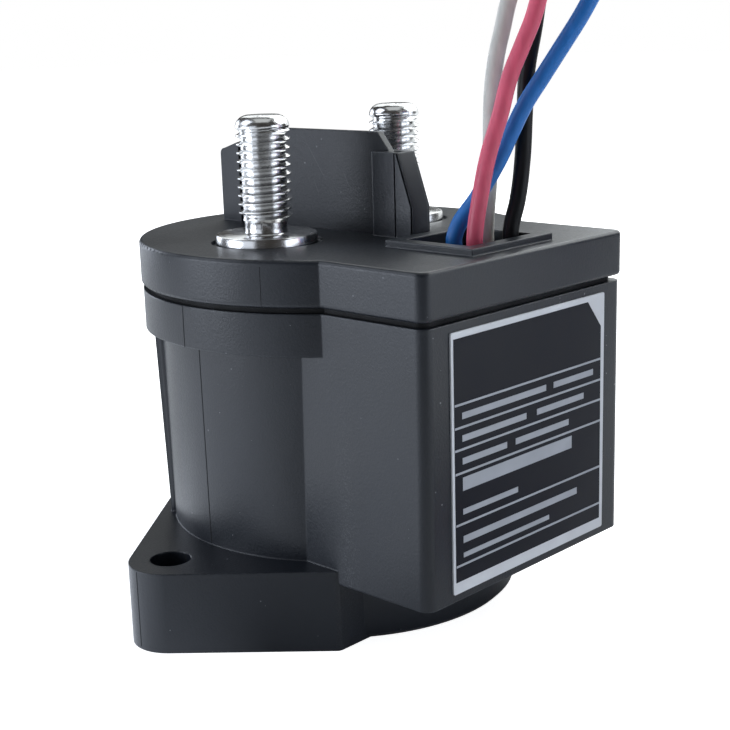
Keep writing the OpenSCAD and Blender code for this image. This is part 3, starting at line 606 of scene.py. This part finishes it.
@dataclass
class ThreadedStud:
    """A terminal stud with a real thread, a neck and a flange."""

    node: str
    y: float
    pitch: float = 1.25
    crest_r: float = 4.0
    root_r: float = 3.32
    neck_r: float = 3.15
    neck_top: float = 59.9
    flange_top: float = 58.2
    flange_r: float = 7.6
    flange_bottom: float = 56.3
    column_r: float = 5.0
    column_bottom: float = 43.45
    top: float = 75.5
    shoulder: float = 73.7
    end_r: float = 2.2
    fade_from: float = 73.0
    fade_to: float = 73.8
    steps: int = 48
    end_cuts: tuple[float, ...] = (72.5, 72.8, 73.1, 73.4, 73.7, 74.0, 74.3, 74.6, 74.85, 75.1, 75.28, 75.41)

    def _limit(self, z: float) -> float:
        """Return the largest radius of the thread at a height, in millimetres."""
        lower = self.neck_r + max(0.0, z - self.neck_top)
        if z <= self.shoulder:
            return min(self.crest_r, lower)
        share = min(1.0, (z - self.shoulder) / (self.top - self.shoulder))
        return self.end_r + (self.crest_r - self.end_r) * math.sqrt(1.0 - share * share)

    def _thread(self) -> bmesh.types.BMesh:
        """Spin the thread's profile up a helix and trim it to the stud's length."""
        bm = bmesh.new()
        profile = ((self.root_r, 0.0), (self.root_r, 0.125), (self.crest_r, 0.4375), (self.crest_r, 0.5625),
                   (self.root_r, 0.875), (self.root_r, 1.0))
        start = self.neck_top - 2 * self.pitch
        turns = math.ceil((self.top - start) / self.pitch) + 1
        corners = [bm.verts.new((r * MM, 0.0, (start + share * self.pitch) * MM)) for r, share in profile]
        chain = [bm.edges.new(pair) for pair in zip(corners, corners[1:])]
        bmesh.ops.spin(bm, geom=corners + chain, cent=(0.0, 0.0, 0.0), axis=(0.0, 0.0, 1.0),
                       dvec=(0.0, 0.0, self.pitch * MM / self.steps), angle=2 * math.pi * turns,
                       steps=self.steps * turns, use_merge=False, use_duplicate=False)
        bmesh.ops.remove_doubles(bm, verts=bm.verts, dist=2e-6)
        for height in self.end_cuts:
            self._cut(bm, height)
        for vert in bm.verts:
            z = vert.co.z / MM
            radius = math.hypot(vert.co.x, vert.co.y) / MM
            allowed = self._limit(z)
            filled = min(1.0, max(0.0, (z - self.fade_from) / (self.fade_to - self.fade_from)))
            wanted = min(allowed, radius + (allowed - radius) * filled)
            vert.co.x *= wanted / radius
            vert.co.y *= wanted / radius
        self._cut(bm, self.neck_top, clear_inner=True)
        self._cut(bm, self.top, clear_outer=True)
        return bm

    @staticmethod
    def _cut(bm: bmesh.types.BMesh, height: float, **cleared: bool) -> None:
        """Cut the mesh at a height in millimetres, and clear the named side."""
        bmesh.ops.bisect_plane(bm, geom=bm.verts[:] + bm.edges[:] + bm.faces[:], dist=1e-7,
                               plane_co=(0.0, 0.0, height * MM), plane_no=(0.0, 0.0, 1.0), **cleared)

    @staticmethod
    def _carry(bm: bmesh.types.BMesh, edges: list, radius: float, z: float) -> list:
        """Extrude a round loop of edges to another radius and height.

        Args:
            bm: The stud's mesh.
            edges: The loop's edges.
            radius: The new radius, in millimetres.
            z: The new height, in millimetres.

        Returns:
            The edges of the new loop.
        """
        grown = bmesh.ops.extrude_edge_only(bm, edges=edges)["geom"]
        for vert in (item for item in grown if isinstance(item, bmesh.types.BMVert)):
            length = math.hypot(vert.co.x, vert.co.y)
            vert.co = (vert.co.x / length * radius * MM, vert.co.y / length * radius * MM, z * MM)
        return [item for item in grown if isinstance(item, bmesh.types.BMEdge) and item.is_boundary]

    def build(self) -> bpy.types.Object:
        """Return the piece that stands in for the stud's node."""
        bm = self._thread()
        middle = (self.neck_top + self.top) / 2 * MM
        loop = [edge for edge in bm.edges if edge.is_boundary and edge.verts[0].co.z < middle]
        end = [edge for edge in bm.edges if edge.is_boundary and edge.verts[0].co.z > middle]
        foot = ((self.neck_r, self.flange_top + 0.35), (self.neck_r + 0.1, self.flange_top + 0.1),
                (self.neck_r + 0.35, self.flange_top), (self.flange_r - 0.4, self.flange_top),
                (self.flange_r - 0.12, self.flange_top - 0.1), (self.flange_r, self.flange_top - 0.4),
                (self.flange_r, self.flange_bottom), (self.column_r, self.flange_bottom),
                (self.column_r, self.column_bottom), (0.2, self.column_bottom))
        for radius, height in foot:
            loop = self._carry(bm, loop, radius, height)
        dome = ((self.end_r * 0.75, self.top + 0.05), (self.end_r * 0.4, self.top + 0.1),
                (0.2, self.top + 0.12))
        for radius, height in dome:
            end = self._carry(bm, end, radius, height)
        bmesh.ops.holes_fill(bm, edges=loop + end, sides=0)
        bmesh.ops.translate(bm, vec=(0.0, self.y * MM, 0.0), verts=bm.verts)
        made = Shape.piece(bm, f"threaded_{self.node}", Finishes.TERMINAL, smooth_below=38.0)
        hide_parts(self.node)
        return made


@dataclass
class RatingPlate:
    """The plate on the box: a pale film with a dark panel, rules and blank printed bars."""

    face: float = 38.0
    left: float = -17.9
    right: float = 17.9
    bottom: float = 11.4
    top: float = 48.2
    film_t: float = 0.25
    ink_t: float = 0.04
    rule_t: float = 0.32
    corner_r: float = 0.3
    panel: tuple[tuple[float, float], ...] = (
        (-17.4, 13.1), (17.1, 13.0), (17.0, 43.2), (13.6, 47.35), (-17.4, 47.3))
    rule_left: float = -17.35
    rule_right: float = 17.0
    rules: tuple[float, ...] = (38.2, 35.0, 31.9, 28.6, 21.3, 15.4)
    bars: tuple[tuple[float, float, float, float], ...] = (
        (-15.8, 3.2, 36.1, 0.9), (5.0, 15.0, 36.1, 0.9), (-15.8, -1.5, 32.95, 0.9),
        (1.0, 12.6, 32.95, 0.9), (-15.8, -6.0, 29.75, 0.9), (-4.0, 8.8, 29.75, 0.9),
        (-15.8, 9.6, 26.0, 1.9), (-15.8, -3.5, 22.6, 0.8), (-15.8, 11.0, 18.5, 1.0),
        (-15.8, 4.0, 16.4, 0.7))

    def _film(self) -> bpy.types.Object:
        """Build the pale film."""
        bm = bmesh.new()
        Shape.prism(bm, ((self.left, self.bottom), (self.right, self.bottom), (self.right, self.top),
                         (self.left, self.top)), self.face, self.film_t)
        corners = [edge for edge in bm.edges if abs(edge.verts[0].co.x - edge.verts[1].co.x) > 0.1 * MM]
        bmesh.ops.bevel(bm, geom=corners, offset=self.corner_r * MM, segments=4, profile=0.5,
                        affect="EDGES", material=-1)
        film = Shape.piece(bm, "plate_film", Finishes.FILM)
        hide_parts("rating_plate")
        return film

    def _panel(self) -> bpy.types.Object:
        """Build the dark panel with its clipped corner."""
        bm = bmesh.new()
        Shape.prism(bm, self.panel, self.face + self.film_t, self.ink_t)
        return Shape.piece(bm, "plate_panel", Finishes.PANEL)

    def _print(self) -> bpy.types.Object:
        """Build the rules and the blank bars between them."""
        bm = bmesh.new()
        start = self.face + self.film_t + self.ink_t
        end = start + self.ink_t
        for z in self.rules:
            Shape.block(bm, (start, self.rule_left, z - self.rule_t / 2),
                        (end, self.rule_right, z + self.rule_t / 2))
        for low, high, z, height in self.bars:
            Shape.block(bm, (start, low, z), (end, high, z + height))
        return Shape.piece(bm, "plate_print", Finishes.PRINT)

    def build(self) -> list[bpy.types.Object]:
        """Return the film, the panel and the print."""
        return [self._film(), self._panel(), self._print()]


class Wire(Enum):
    """The four leads, from the lowest layer of the coil up."""

    BLUE = "blue"
    RED = "red"
    BLACK = "black"
    WHITE = "white"


@dataclass
class Lead:
    """One lead as a cord, from the resin over its arch to the coil on the floor."""

    wire: Wire
    layer: int
    finish: Finish
    route: tuple[Point, ...]
    length: float
    resin_top: float = 55.4
    radius: float = 1.2
    centre: tuple[float, float] = (82.0, 24.0)
    coil_r: float = 13.0
    pitch: float = 2.45
    turns: int = 2
    floor_gap: float = 0.6
    end_r: float = 8.85
    end_angle: float = 60.0
    knots: int = 16

    def height(self) -> float:
        """Return the height of the lead's layer in the coil."""
        return self.floor_gap + self.radius + self.layer * self.pitch

    def _coil(self) -> list[Point]:
        """Return the points of the coil, clockwise and inwards, up to the bare end."""
        outer = self.coil_r + self.pitch * self.turns / 2
        spots = []
        for step in range(self.knots * self.turns + 1):
            share = step / self.knots
            spots.append((90.0 - share * 360.0, outer - self.pitch * share))
        inner = spots[-1][1]
        spots.append((75.0, (inner + self.end_r) / 2 + 0.3))
        spots.append((self.end_angle, self.end_r))
        z = self.height()
        return [(self.centre[0] + r * math.cos(math.radians(angle)),
                 self.centre[1] + r * math.sin(math.radians(angle)), z) for angle, r in spots]

    def build(self, with_pieces: Sequence[bpy.types.Object] = ()) -> bpy.types.Object:
        """Return the lead as a curve.

        Args:
            with_pieces: Pieces meant to move with this lead; not used.

        Returns:
            The curve object.
        """
        exit_point = (self.route[0][0], self.route[0][1], self.resin_top)
        points = [exit_point, *self.route, *self._coil()]
        curve = bpy.data.curves.new(f"cord_{self.wire.value}", "CURVE")
        curve.dimensions = "3D"
        curve.bevel_depth = self.radius * MM
        curve.bevel_resolution = 6
        curve.resolution_u = 10
        curve.use_fill_caps = True
        spline = curve.splines.new("BEZIER")
        spline.bezier_points.add(len(points) - 1)
        for knot, point in zip(spline.bezier_points, points):
            knot.co = Vector(point) * MM
            knot.handle_left_type = "AUTO"
            knot.handle_right_type = "AUTO"
        curve.materials.append(self.finish.material())
        made = bpy.data.objects.new(curve.name, curve)
        bpy.context.scene.collection.objects.link(made)
        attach(made, BASE)
        return made


@dataclass
class LeadBundle:
    """The four leads with their tinned ends and the tie round their coil."""

    strand_l: float = 7.0
    strand_r: float = 0.75
    strands: int = 6
    steps: int = 20
    heading: tuple[float, float] = (0.42, -0.91)

    def _leads(self) -> list[Lead]:
        """Return the leads with their routes, in millimetres."""
        white = (
            (26.7, 4.3, 58.7), (26.8, 4.5, 61.6), (27.0, 4.6, 64.3), (27.2, 4.9, 70.1), (27.4, 5.1, 78.2),
            (27.9, 5.5, 83.0), (28.5, 6.1, 86.7), (29.4, 6.9, 91.5), (32.8, 10.0, 102.5), (41.9, 18.0, 109.8),
            (53.0, 28.0, 109.8), (62.3, 36.2, 103.5), (65.3, 39.1, 92.0), (65.5, 39.4, 79.0),
            (65.0, 38.9, 48.0), (65.5, 39.4, 15.8), (66.4, 39.4, 12.5), (68.8, 39.4, 10.4),
            (73.0, 39.4, 9.15))
        black = (
            (30.4, 5.4, 58.4), (30.9, 6.4, 62.8), (31.0, 7.4, 68.2), (30.9, 8.1, 74.9), (31.0, 8.4, 80.2),
            (31.8, 9.1, 86.6), (32.5, 9.8, 92.0), (35.4, 12.6, 101.5), (43.0, 20.0, 107.2),
            (52.5, 29.2, 107.2), (60.0, 36.6, 101.5), (62.7, 39.1, 91.0), (63.0, 39.4, 78.0),
            (62.5, 38.9, 48.0), (63.0, 39.4, 15.8), (64.2, 39.4, 11.3), (67.5, 39.4, 8.2), (73.0, 39.4, 6.7))
        blue = (
            (25.0, -0.8, 58.0), (27.6, 1.8, 63.9), (29.6, 3.7, 68.6), (31.1, 5.0, 72.8), (32.4, 6.2, 76.3),
            (34.2, 7.9, 80.1), (36.3, 9.9, 84.5), (38.0, 11.5, 88.1), (39.6, 13.1, 92.0), (41.5, 15.5, 96.5),
            (45.5, 21.5, 101.5), (51.0, 30.0, 102.0), (55.8, 36.8, 97.0), (57.8, 39.2, 88.0),
            (58.0, 39.4, 76.0), (57.5, 38.9, 48.0), (58.0, 39.4, 15.8), (59.9, 39.4, 8.8), (65.0, 39.4, 3.7),
            (73.0, 39.4, 1.8))
        red = (
            (28.7, -0.8, 58.0), (29.4, -0.2, 64.3), (30.2, 0.6, 69.7), (31.4, 1.7, 75.0), (32.4, 2.7, 80.3),
            (33.7, 3.9, 84.6), (34.7, 4.9, 88.0), (35.6, 5.8, 92.0), (38.0, 9.0, 99.5), (44.2, 17.4, 104.6),
            (51.9, 27.8, 104.6), (58.0, 36.2, 99.2), (60.2, 39.0, 90.0), (60.5, 39.4, 77.0),
            (60.0, 38.9, 48.0), (60.5, 39.4, 15.8), (62.0, 39.4, 10.2), (66.2, 39.4, 6.0), (73.0, 39.4, 4.25))
        return [Lead(Wire.BLUE, 0, Finishes.BLUE, blue, 0.365), Lead(Wire.RED, 1, Finishes.RED, red, 0.37),
                Lead(Wire.BLACK, 2, Finishes.BLACK, black, 0.37),
                Lead(Wire.WHITE, 3, Finishes.WHITE, white, 0.373)]

    def _tips(self, leads: Iterable[Lead]) -> bpy.types.Object:
        """Build the twisted, tinned ends of all leads."""
        bm = bmesh.new()
        along = Vector((*self.heading, 0.0)).normalized()
        strand_r = self.strand_r * 0.36
        ring_r = self.strand_r - strand_r
        for lead in leads:
            angle = math.radians(lead.end_angle)
            start = Vector((lead.centre[0] + lead.end_r * math.cos(angle),
                            lead.centre[1] + lead.end_r * math.sin(angle), lead.height())) * MM
            for strand in range(self.strands):
                turn = Matrix.Rotation(math.radians(360.0 / self.strands * strand), 4, along)
                side = turn @ Vector((0.0, 0.0, ring_r * MM))
                place = Matrix.Translation(start + side) @ along.to_track_quat("Z", "Y").to_matrix().to_4x4()
                verts = bmesh.ops.create_circle(bm, cap_ends=False, radius=strand_r * MM, segments=8,
                                                matrix=place)["verts"]
                edges = list({edge for vert in verts for edge in vert.link_edges})
                bmesh.ops.spin(bm, geom=verts + edges, cent=start, axis=along,
                               dvec=along * (self.strand_l * MM / self.steps), angle=math.radians(200.0),
                               steps=self.steps, use_merge=False, use_duplicate=False)
        bmesh.ops.holes_fill(bm, edges=[edge for edge in bm.edges if edge.is_boundary], sides=8)
        tips = Shape.piece(bm, "twisted_lead_tips", Finishes.STRAND, smooth_below=60.0)
        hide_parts("lead_tips")
        return tips

    def build(self) -> list[bpy.types.Object]:
        """Return the leads, their ends and the tie."""
        leads = self._leads()
        tips = self._tips(leads)
        tie = SmoothMoulding("lead_tie", Finishes.TIE).build()
        made = [lead.build((tips, tie) if lead.layer == 0 else ()) for lead in leads]
        for curve, lead in zip(made, leads):
            spare = ("lead_coil",) if lead.layer == 0 else ()
            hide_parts(f"lead_{lead.wire.value}", *spare)
        return [tips, tie, *made]


@dataclass
class PhotoCamera:
    """The camera, placed as it stood before the object."""

    place: Point = (154.152, -156.722, 87.820)
    azimuth: float = 43.447
    pitch: float = 13.547
    roll: float = -1.639
    lens: float = 69.57

    def build(self) -> bpy.types.Object:
        """Return the camera, set as the scene's own."""
        data = bpy.data.cameras.new("photo_camera")
        data.lens = self.lens
        data.sensor_width = 36.0
        data.clip_start = 0.01
        data.clip_end = 20.0
        azimuth, pitch, roll = (math.radians(angle) for angle in (self.azimuth, self.pitch, self.roll))
        right = Vector((math.cos(azimuth), math.sin(azimuth), 0.0))
        level = math.cos(pitch)
        ahead = Vector((-math.sin(azimuth) * level, math.cos(azimuth) * level, -math.sin(pitch)))
        up = right.cross(ahead)
        rolled = right * math.cos(roll) + up * math.sin(roll)
        risen = up * math.cos(roll) - right * math.sin(roll)
        turn = Matrix((rolled, risen, -ahead)).transposed().to_4x4()
        camera = bpy.data.objects.new("photo_camera", data)
        bpy.context.scene.collection.objects.link(camera)
        camera.matrix_world = Matrix.Translation(Vector(self.place) * MM) @ turn
        bpy.context.scene.camera = camera
        return camera


@dataclass(frozen=True)
class Panel:
    """A flat soft lamp that stands round the object and faces it."""

    name: str
    azimuth: float
    rise: float
    distance: float
    width: float
    height: float
    radiance: float
    colour: Colour = (0.955, 1.0, 1.02)

    def matrix(self) -> Matrix:
        """Return the panel's place, facing the object."""
        target = Vector((0.008, 0.0, 0.04))
        azimuth, rise = math.radians(self.azimuth), math.radians(self.rise)
        level = math.cos(rise)
        away = Vector((math.cos(azimuth) * level, math.sin(azimuth) * level, math.sin(rise)))
        turn = away.to_track_quat("Z", "Y").to_matrix().to_4x4()
        return Matrix.Translation(target + away * self.distance) @ turn


COOL: Colour = (0.925, 1.0, 1.13)


@dataclass
class Studio:
    """White background, pale floor, soft lamps and a dark tent for reflections."""

    fill: float = 0.02
    floor_half: float = 3.0
    tent_r: float = 0.9
    tent_glow: float = 0.035
    bright_azimuth: float = -120.0
    bright_within: float = 30.0
    bright_end: float = 55.0
    bright_floor: float = 1.0
    lamps: tuple[Panel, ...] = (
        Panel("left_lamp", -120.0, 4.0, 0.5, 0.3, 0.16, 5.6, COOL),
        Panel("left_near_lamp", -86.0, 10.0, 0.5, 0.24, 0.24, 0.9, COOL),
        Panel("left_back_lamp", 180.0, 10.0, 0.5, 0.24, 0.24, 2.8, COOL),
        Panel("left_high_lamp", -135.0, 40.0, 0.5, 0.3, 0.3, 2.2, COOL),
        Panel("right_lamp", 22.0, 7.0, 0.5, 0.46, 0.28, 2.2, COOL),
        Panel("right_high_lamp", 60.0, 40.0, 0.5, 0.3, 0.3, 3.6),
        Panel("rear_lamp", 100.0, 10.0, 0.5, 0.36, 0.3, 1.0),
        Panel("rear_high_lamp", 100.0, 40.0, 0.5, 0.44, 0.44, 1.8),
        Panel("rear_left_high_lamp", 140.0, 40.0, 0.5, 0.3, 0.3, 1.4),
        Panel("top_lamp", -45.0, 78.0, 0.5, 0.4, 0.4, 0.6))

    def _world(self) -> None:
        """Make the background white to the eye and faint as a light. In reflections the tent hides it."""
        world = bpy.data.worlds.new("studio")
        world.use_nodes = True
        bpy.context.scene.world = world
        graph = Graph(world.node_tree)
        background = world.node_tree.nodes["Background"]
        path = graph.add("ShaderNodeLightPath")
        seen = graph.math("MAXIMUM", path.outputs["Is Camera Ray"], path.outputs["Is Glossy Ray"])
        seen = graph.math("MAXIMUM", seen, path.outputs["Is Transmission Ray"])
        graph.feed(background.inputs["Color"], (1.0, 1.0, 1.0, 1.0))
        graph.feed(background.inputs["Strength"], graph.spread(seen, 0.0, 1.0, self.fill, 1.0))

    def _floor(self) -> None:
        """Lay the pale floor, which keeps a soft shadow and shines in reflections on one side."""
        bm = bmesh.new()
        bmesh.ops.create_grid(bm, x_segments=1, y_segments=1, size=self.floor_half)
        paper = bpy.data.materials.new("floor_paper")
        paper.use_nodes = True
        graph = Graph(paper.node_tree)
        surface = paper.node_tree.nodes["Principled BSDF"]
        surface.inputs["Base Color"].default_value = (0.9, 0.9, 0.9, 1.0)
        surface.inputs["Roughness"].default_value = 0.9
        surface.inputs["Specular IOR Level"].default_value = 0.0
        path = graph.add("ShaderNodeLightPath")
        graph.feed(surface.inputs["Emission Color"],
                   graph.blend(path.outputs["Is Glossy Ray"], (1.0, 1.0, 1.0), COOL))
        place = graph.add("ShaderNodeTexCoord").outputs["Object"]
        far = graph.add("ShaderNodeVectorMath", operation="LENGTH")
        graph.feed(far.inputs[0], place)
        glow = graph.product(path.outputs["Is Camera Ray"],
                             graph.spread(far.outputs["Value"], 0.08, 0.25, 0.9, 1.02))
        sheen = graph.product(path.outputs["Is Glossy Ray"], self._bright_side(graph, place),
                              graph.spread(far.outputs["Value"], 0.05, 0.28, 1.0, 0.2))
        graph.feed(surface.inputs["Emission Strength"], graph.math("ADD", glow, sheen))
        self._set_up(bm, "floor", paper)

    def _bright_side(self, graph: Graph, place: bpy.types.NodeSocket) -> bpy.types.NodeSocket:
        """Return how brightly reflections show the floor, which is bright on one side of the object."""
        angle = math.radians(self.bright_azimuth)
        ahead = graph.add("ShaderNodeVectorMath", operation="NORMALIZE")
        graph.feed(ahead.inputs[0], place)
        turn = graph.dot(ahead.outputs["Vector"], (math.cos(angle), math.sin(angle), 0.0))
        return graph.spread(turn, math.cos(math.radians(self.bright_end)),
                            math.cos(math.radians(self.bright_within)), 0.0, self.bright_floor)

    @staticmethod
    def _set_up(bm: bmesh.types.BMesh, name: str, material: bpy.types.Material) -> bpy.types.Object:
        """Turn a mesh under construction into a piece of the stage and return it."""
        mesh = bpy.data.meshes.new(name)
        bm.to_mesh(mesh)
        bm.free()
        mesh.materials.append(material)
        made = bpy.data.objects.new(name, mesh)
        bpy.context.scene.collection.objects.link(made)
        return made

    @staticmethod
    def _lamp(panel: Panel) -> None:
        """Hang a soft lamp."""
        light = bpy.data.lights.new(panel.name, "AREA")
        light.shape = "RECTANGLE"
        light.size = panel.width
        light.size_y = panel.height
        light.color = panel.colour
        light.energy = panel.radiance * panel.width * panel.height * math.pi
        lamp = bpy.data.objects.new(panel.name, light)
        bpy.context.scene.collection.objects.link(lamp)
        lamp.matrix_world = panel.matrix()
        lamp.visible_camera = False

    def _tent(self) -> None:
        """Put up a dark tent that only shows in reflections, behind the lamps."""
        bm = bmesh.new()
        bmesh.ops.create_icosphere(bm, subdivisions=3, radius=self.tent_r)
        felt = bpy.data.materials.new("tent_felt")
        felt.use_nodes = True
        surface = felt.node_tree.nodes["Principled BSDF"]
        surface.inputs["Base Color"].default_value = (0.02, 0.019, 0.018, 1.0)
        surface.inputs["Specular IOR Level"].default_value = 0.0
        surface.inputs["Emission Color"].default_value = (1.0, 0.9, 0.82, 1.0)
        surface.inputs["Emission Strength"].default_value = self.tent_glow
        tent = self._set_up(bm, "tent", felt)
        tent.visible_camera = False
        tent.visible_diffuse = False
        tent.visible_shadow = False
        tent.visible_transmission = False

    def build(self) -> None:
        """Set up background, floor, lamps and tent."""
        bpy.context.scene.view_settings.view_transform = "Standard"
        self._world()
        self._floor()
        for lamp in self.lamps:
            self._lamp(lamp)
        self._tent()


@dataclass
class InnerWorks:
    """The sealed parts and seals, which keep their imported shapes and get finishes."""

    finishes: tuple[tuple[Finish, tuple[str, ...]], ...] = (
        (Finishes.RUBBER, ("lid_seal", "stud_seals", "stop_pad")),
        (Finishes.RESIN, ("resin_seal",)),
        (Finishes.CERAMIC, ("arc_chamber",)),
        (Finishes.SILVER, ("fixed_contact_tips", "bridge_contact_tips")),
        (Finishes.COPPER, ("contact_bridge",)),
        (Finishes.SPRING, ("contact_spring", "return_spring", "shaft_clip")),
        (Finishes.STEEL, ("contact_shaft", "guide_tube")),
        (Finishes.IRON, ("armature", "fixed_core", "yoke_cup", "yoke_top_plate", "magnet_keepers")),
        (Finishes.MAGNET, ("aux_magnet", "blowout_magnets")),
        (Finishes.NYLON, ("coil_bobbin",)),
        (Finishes.ENAMEL, ("coil_winding",)),
        (Finishes.BOARD, ("driver_board",)),
        (Finishes.CASE, ("board_transistor", "board_chips")),
        (Finishes.CAN, ("board_capacitor",)),
        (Finishes.GLASS, ("reed_switch",)))

    def dress(self) -> int:
        """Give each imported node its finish.

        Returns:
            The number of nodes that were dressed.
        """
        count = 0
        for finish, names in self.finishes:
            for name in names:
                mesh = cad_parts[name].data
                mesh.materials.clear()
                mesh.materials.append(finish.material())
                count += 1
        return count


def main() -> None:
    """Build the scene in order and report each step."""
    logging.basicConfig(level=logging.INFO, format="%(name)s: %(message)s")
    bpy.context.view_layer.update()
    PhotoCamera().build()
    LOG.info("leads: %d pieces", len(LeadBundle().build()))
    mouldings = (SmoothMoulding("housing", Finishes.HOUSING, soft_at=(-130.0, 130.0)),
                 SmoothMoulding("lid", Finishes.LID), SmoothMoulding("barrier_plate", Finishes.BARRIER))
    for moulding in mouldings:
        LOG.info("moulding: %s", moulding.build().name)
    for stud in (ThreadedStud("terminal_stud_front", -14.45), ThreadedStud("terminal_stud_rear", 14.45)):
        LOG.info("stud: %s", stud.build().name)
    LOG.info("plate: %d pieces", len(RatingPlate().build()))
    LOG.info("inner works: %d nodes", InnerWorks().dress())
    Studio().build()


if __name__ == "__main__":
    main()
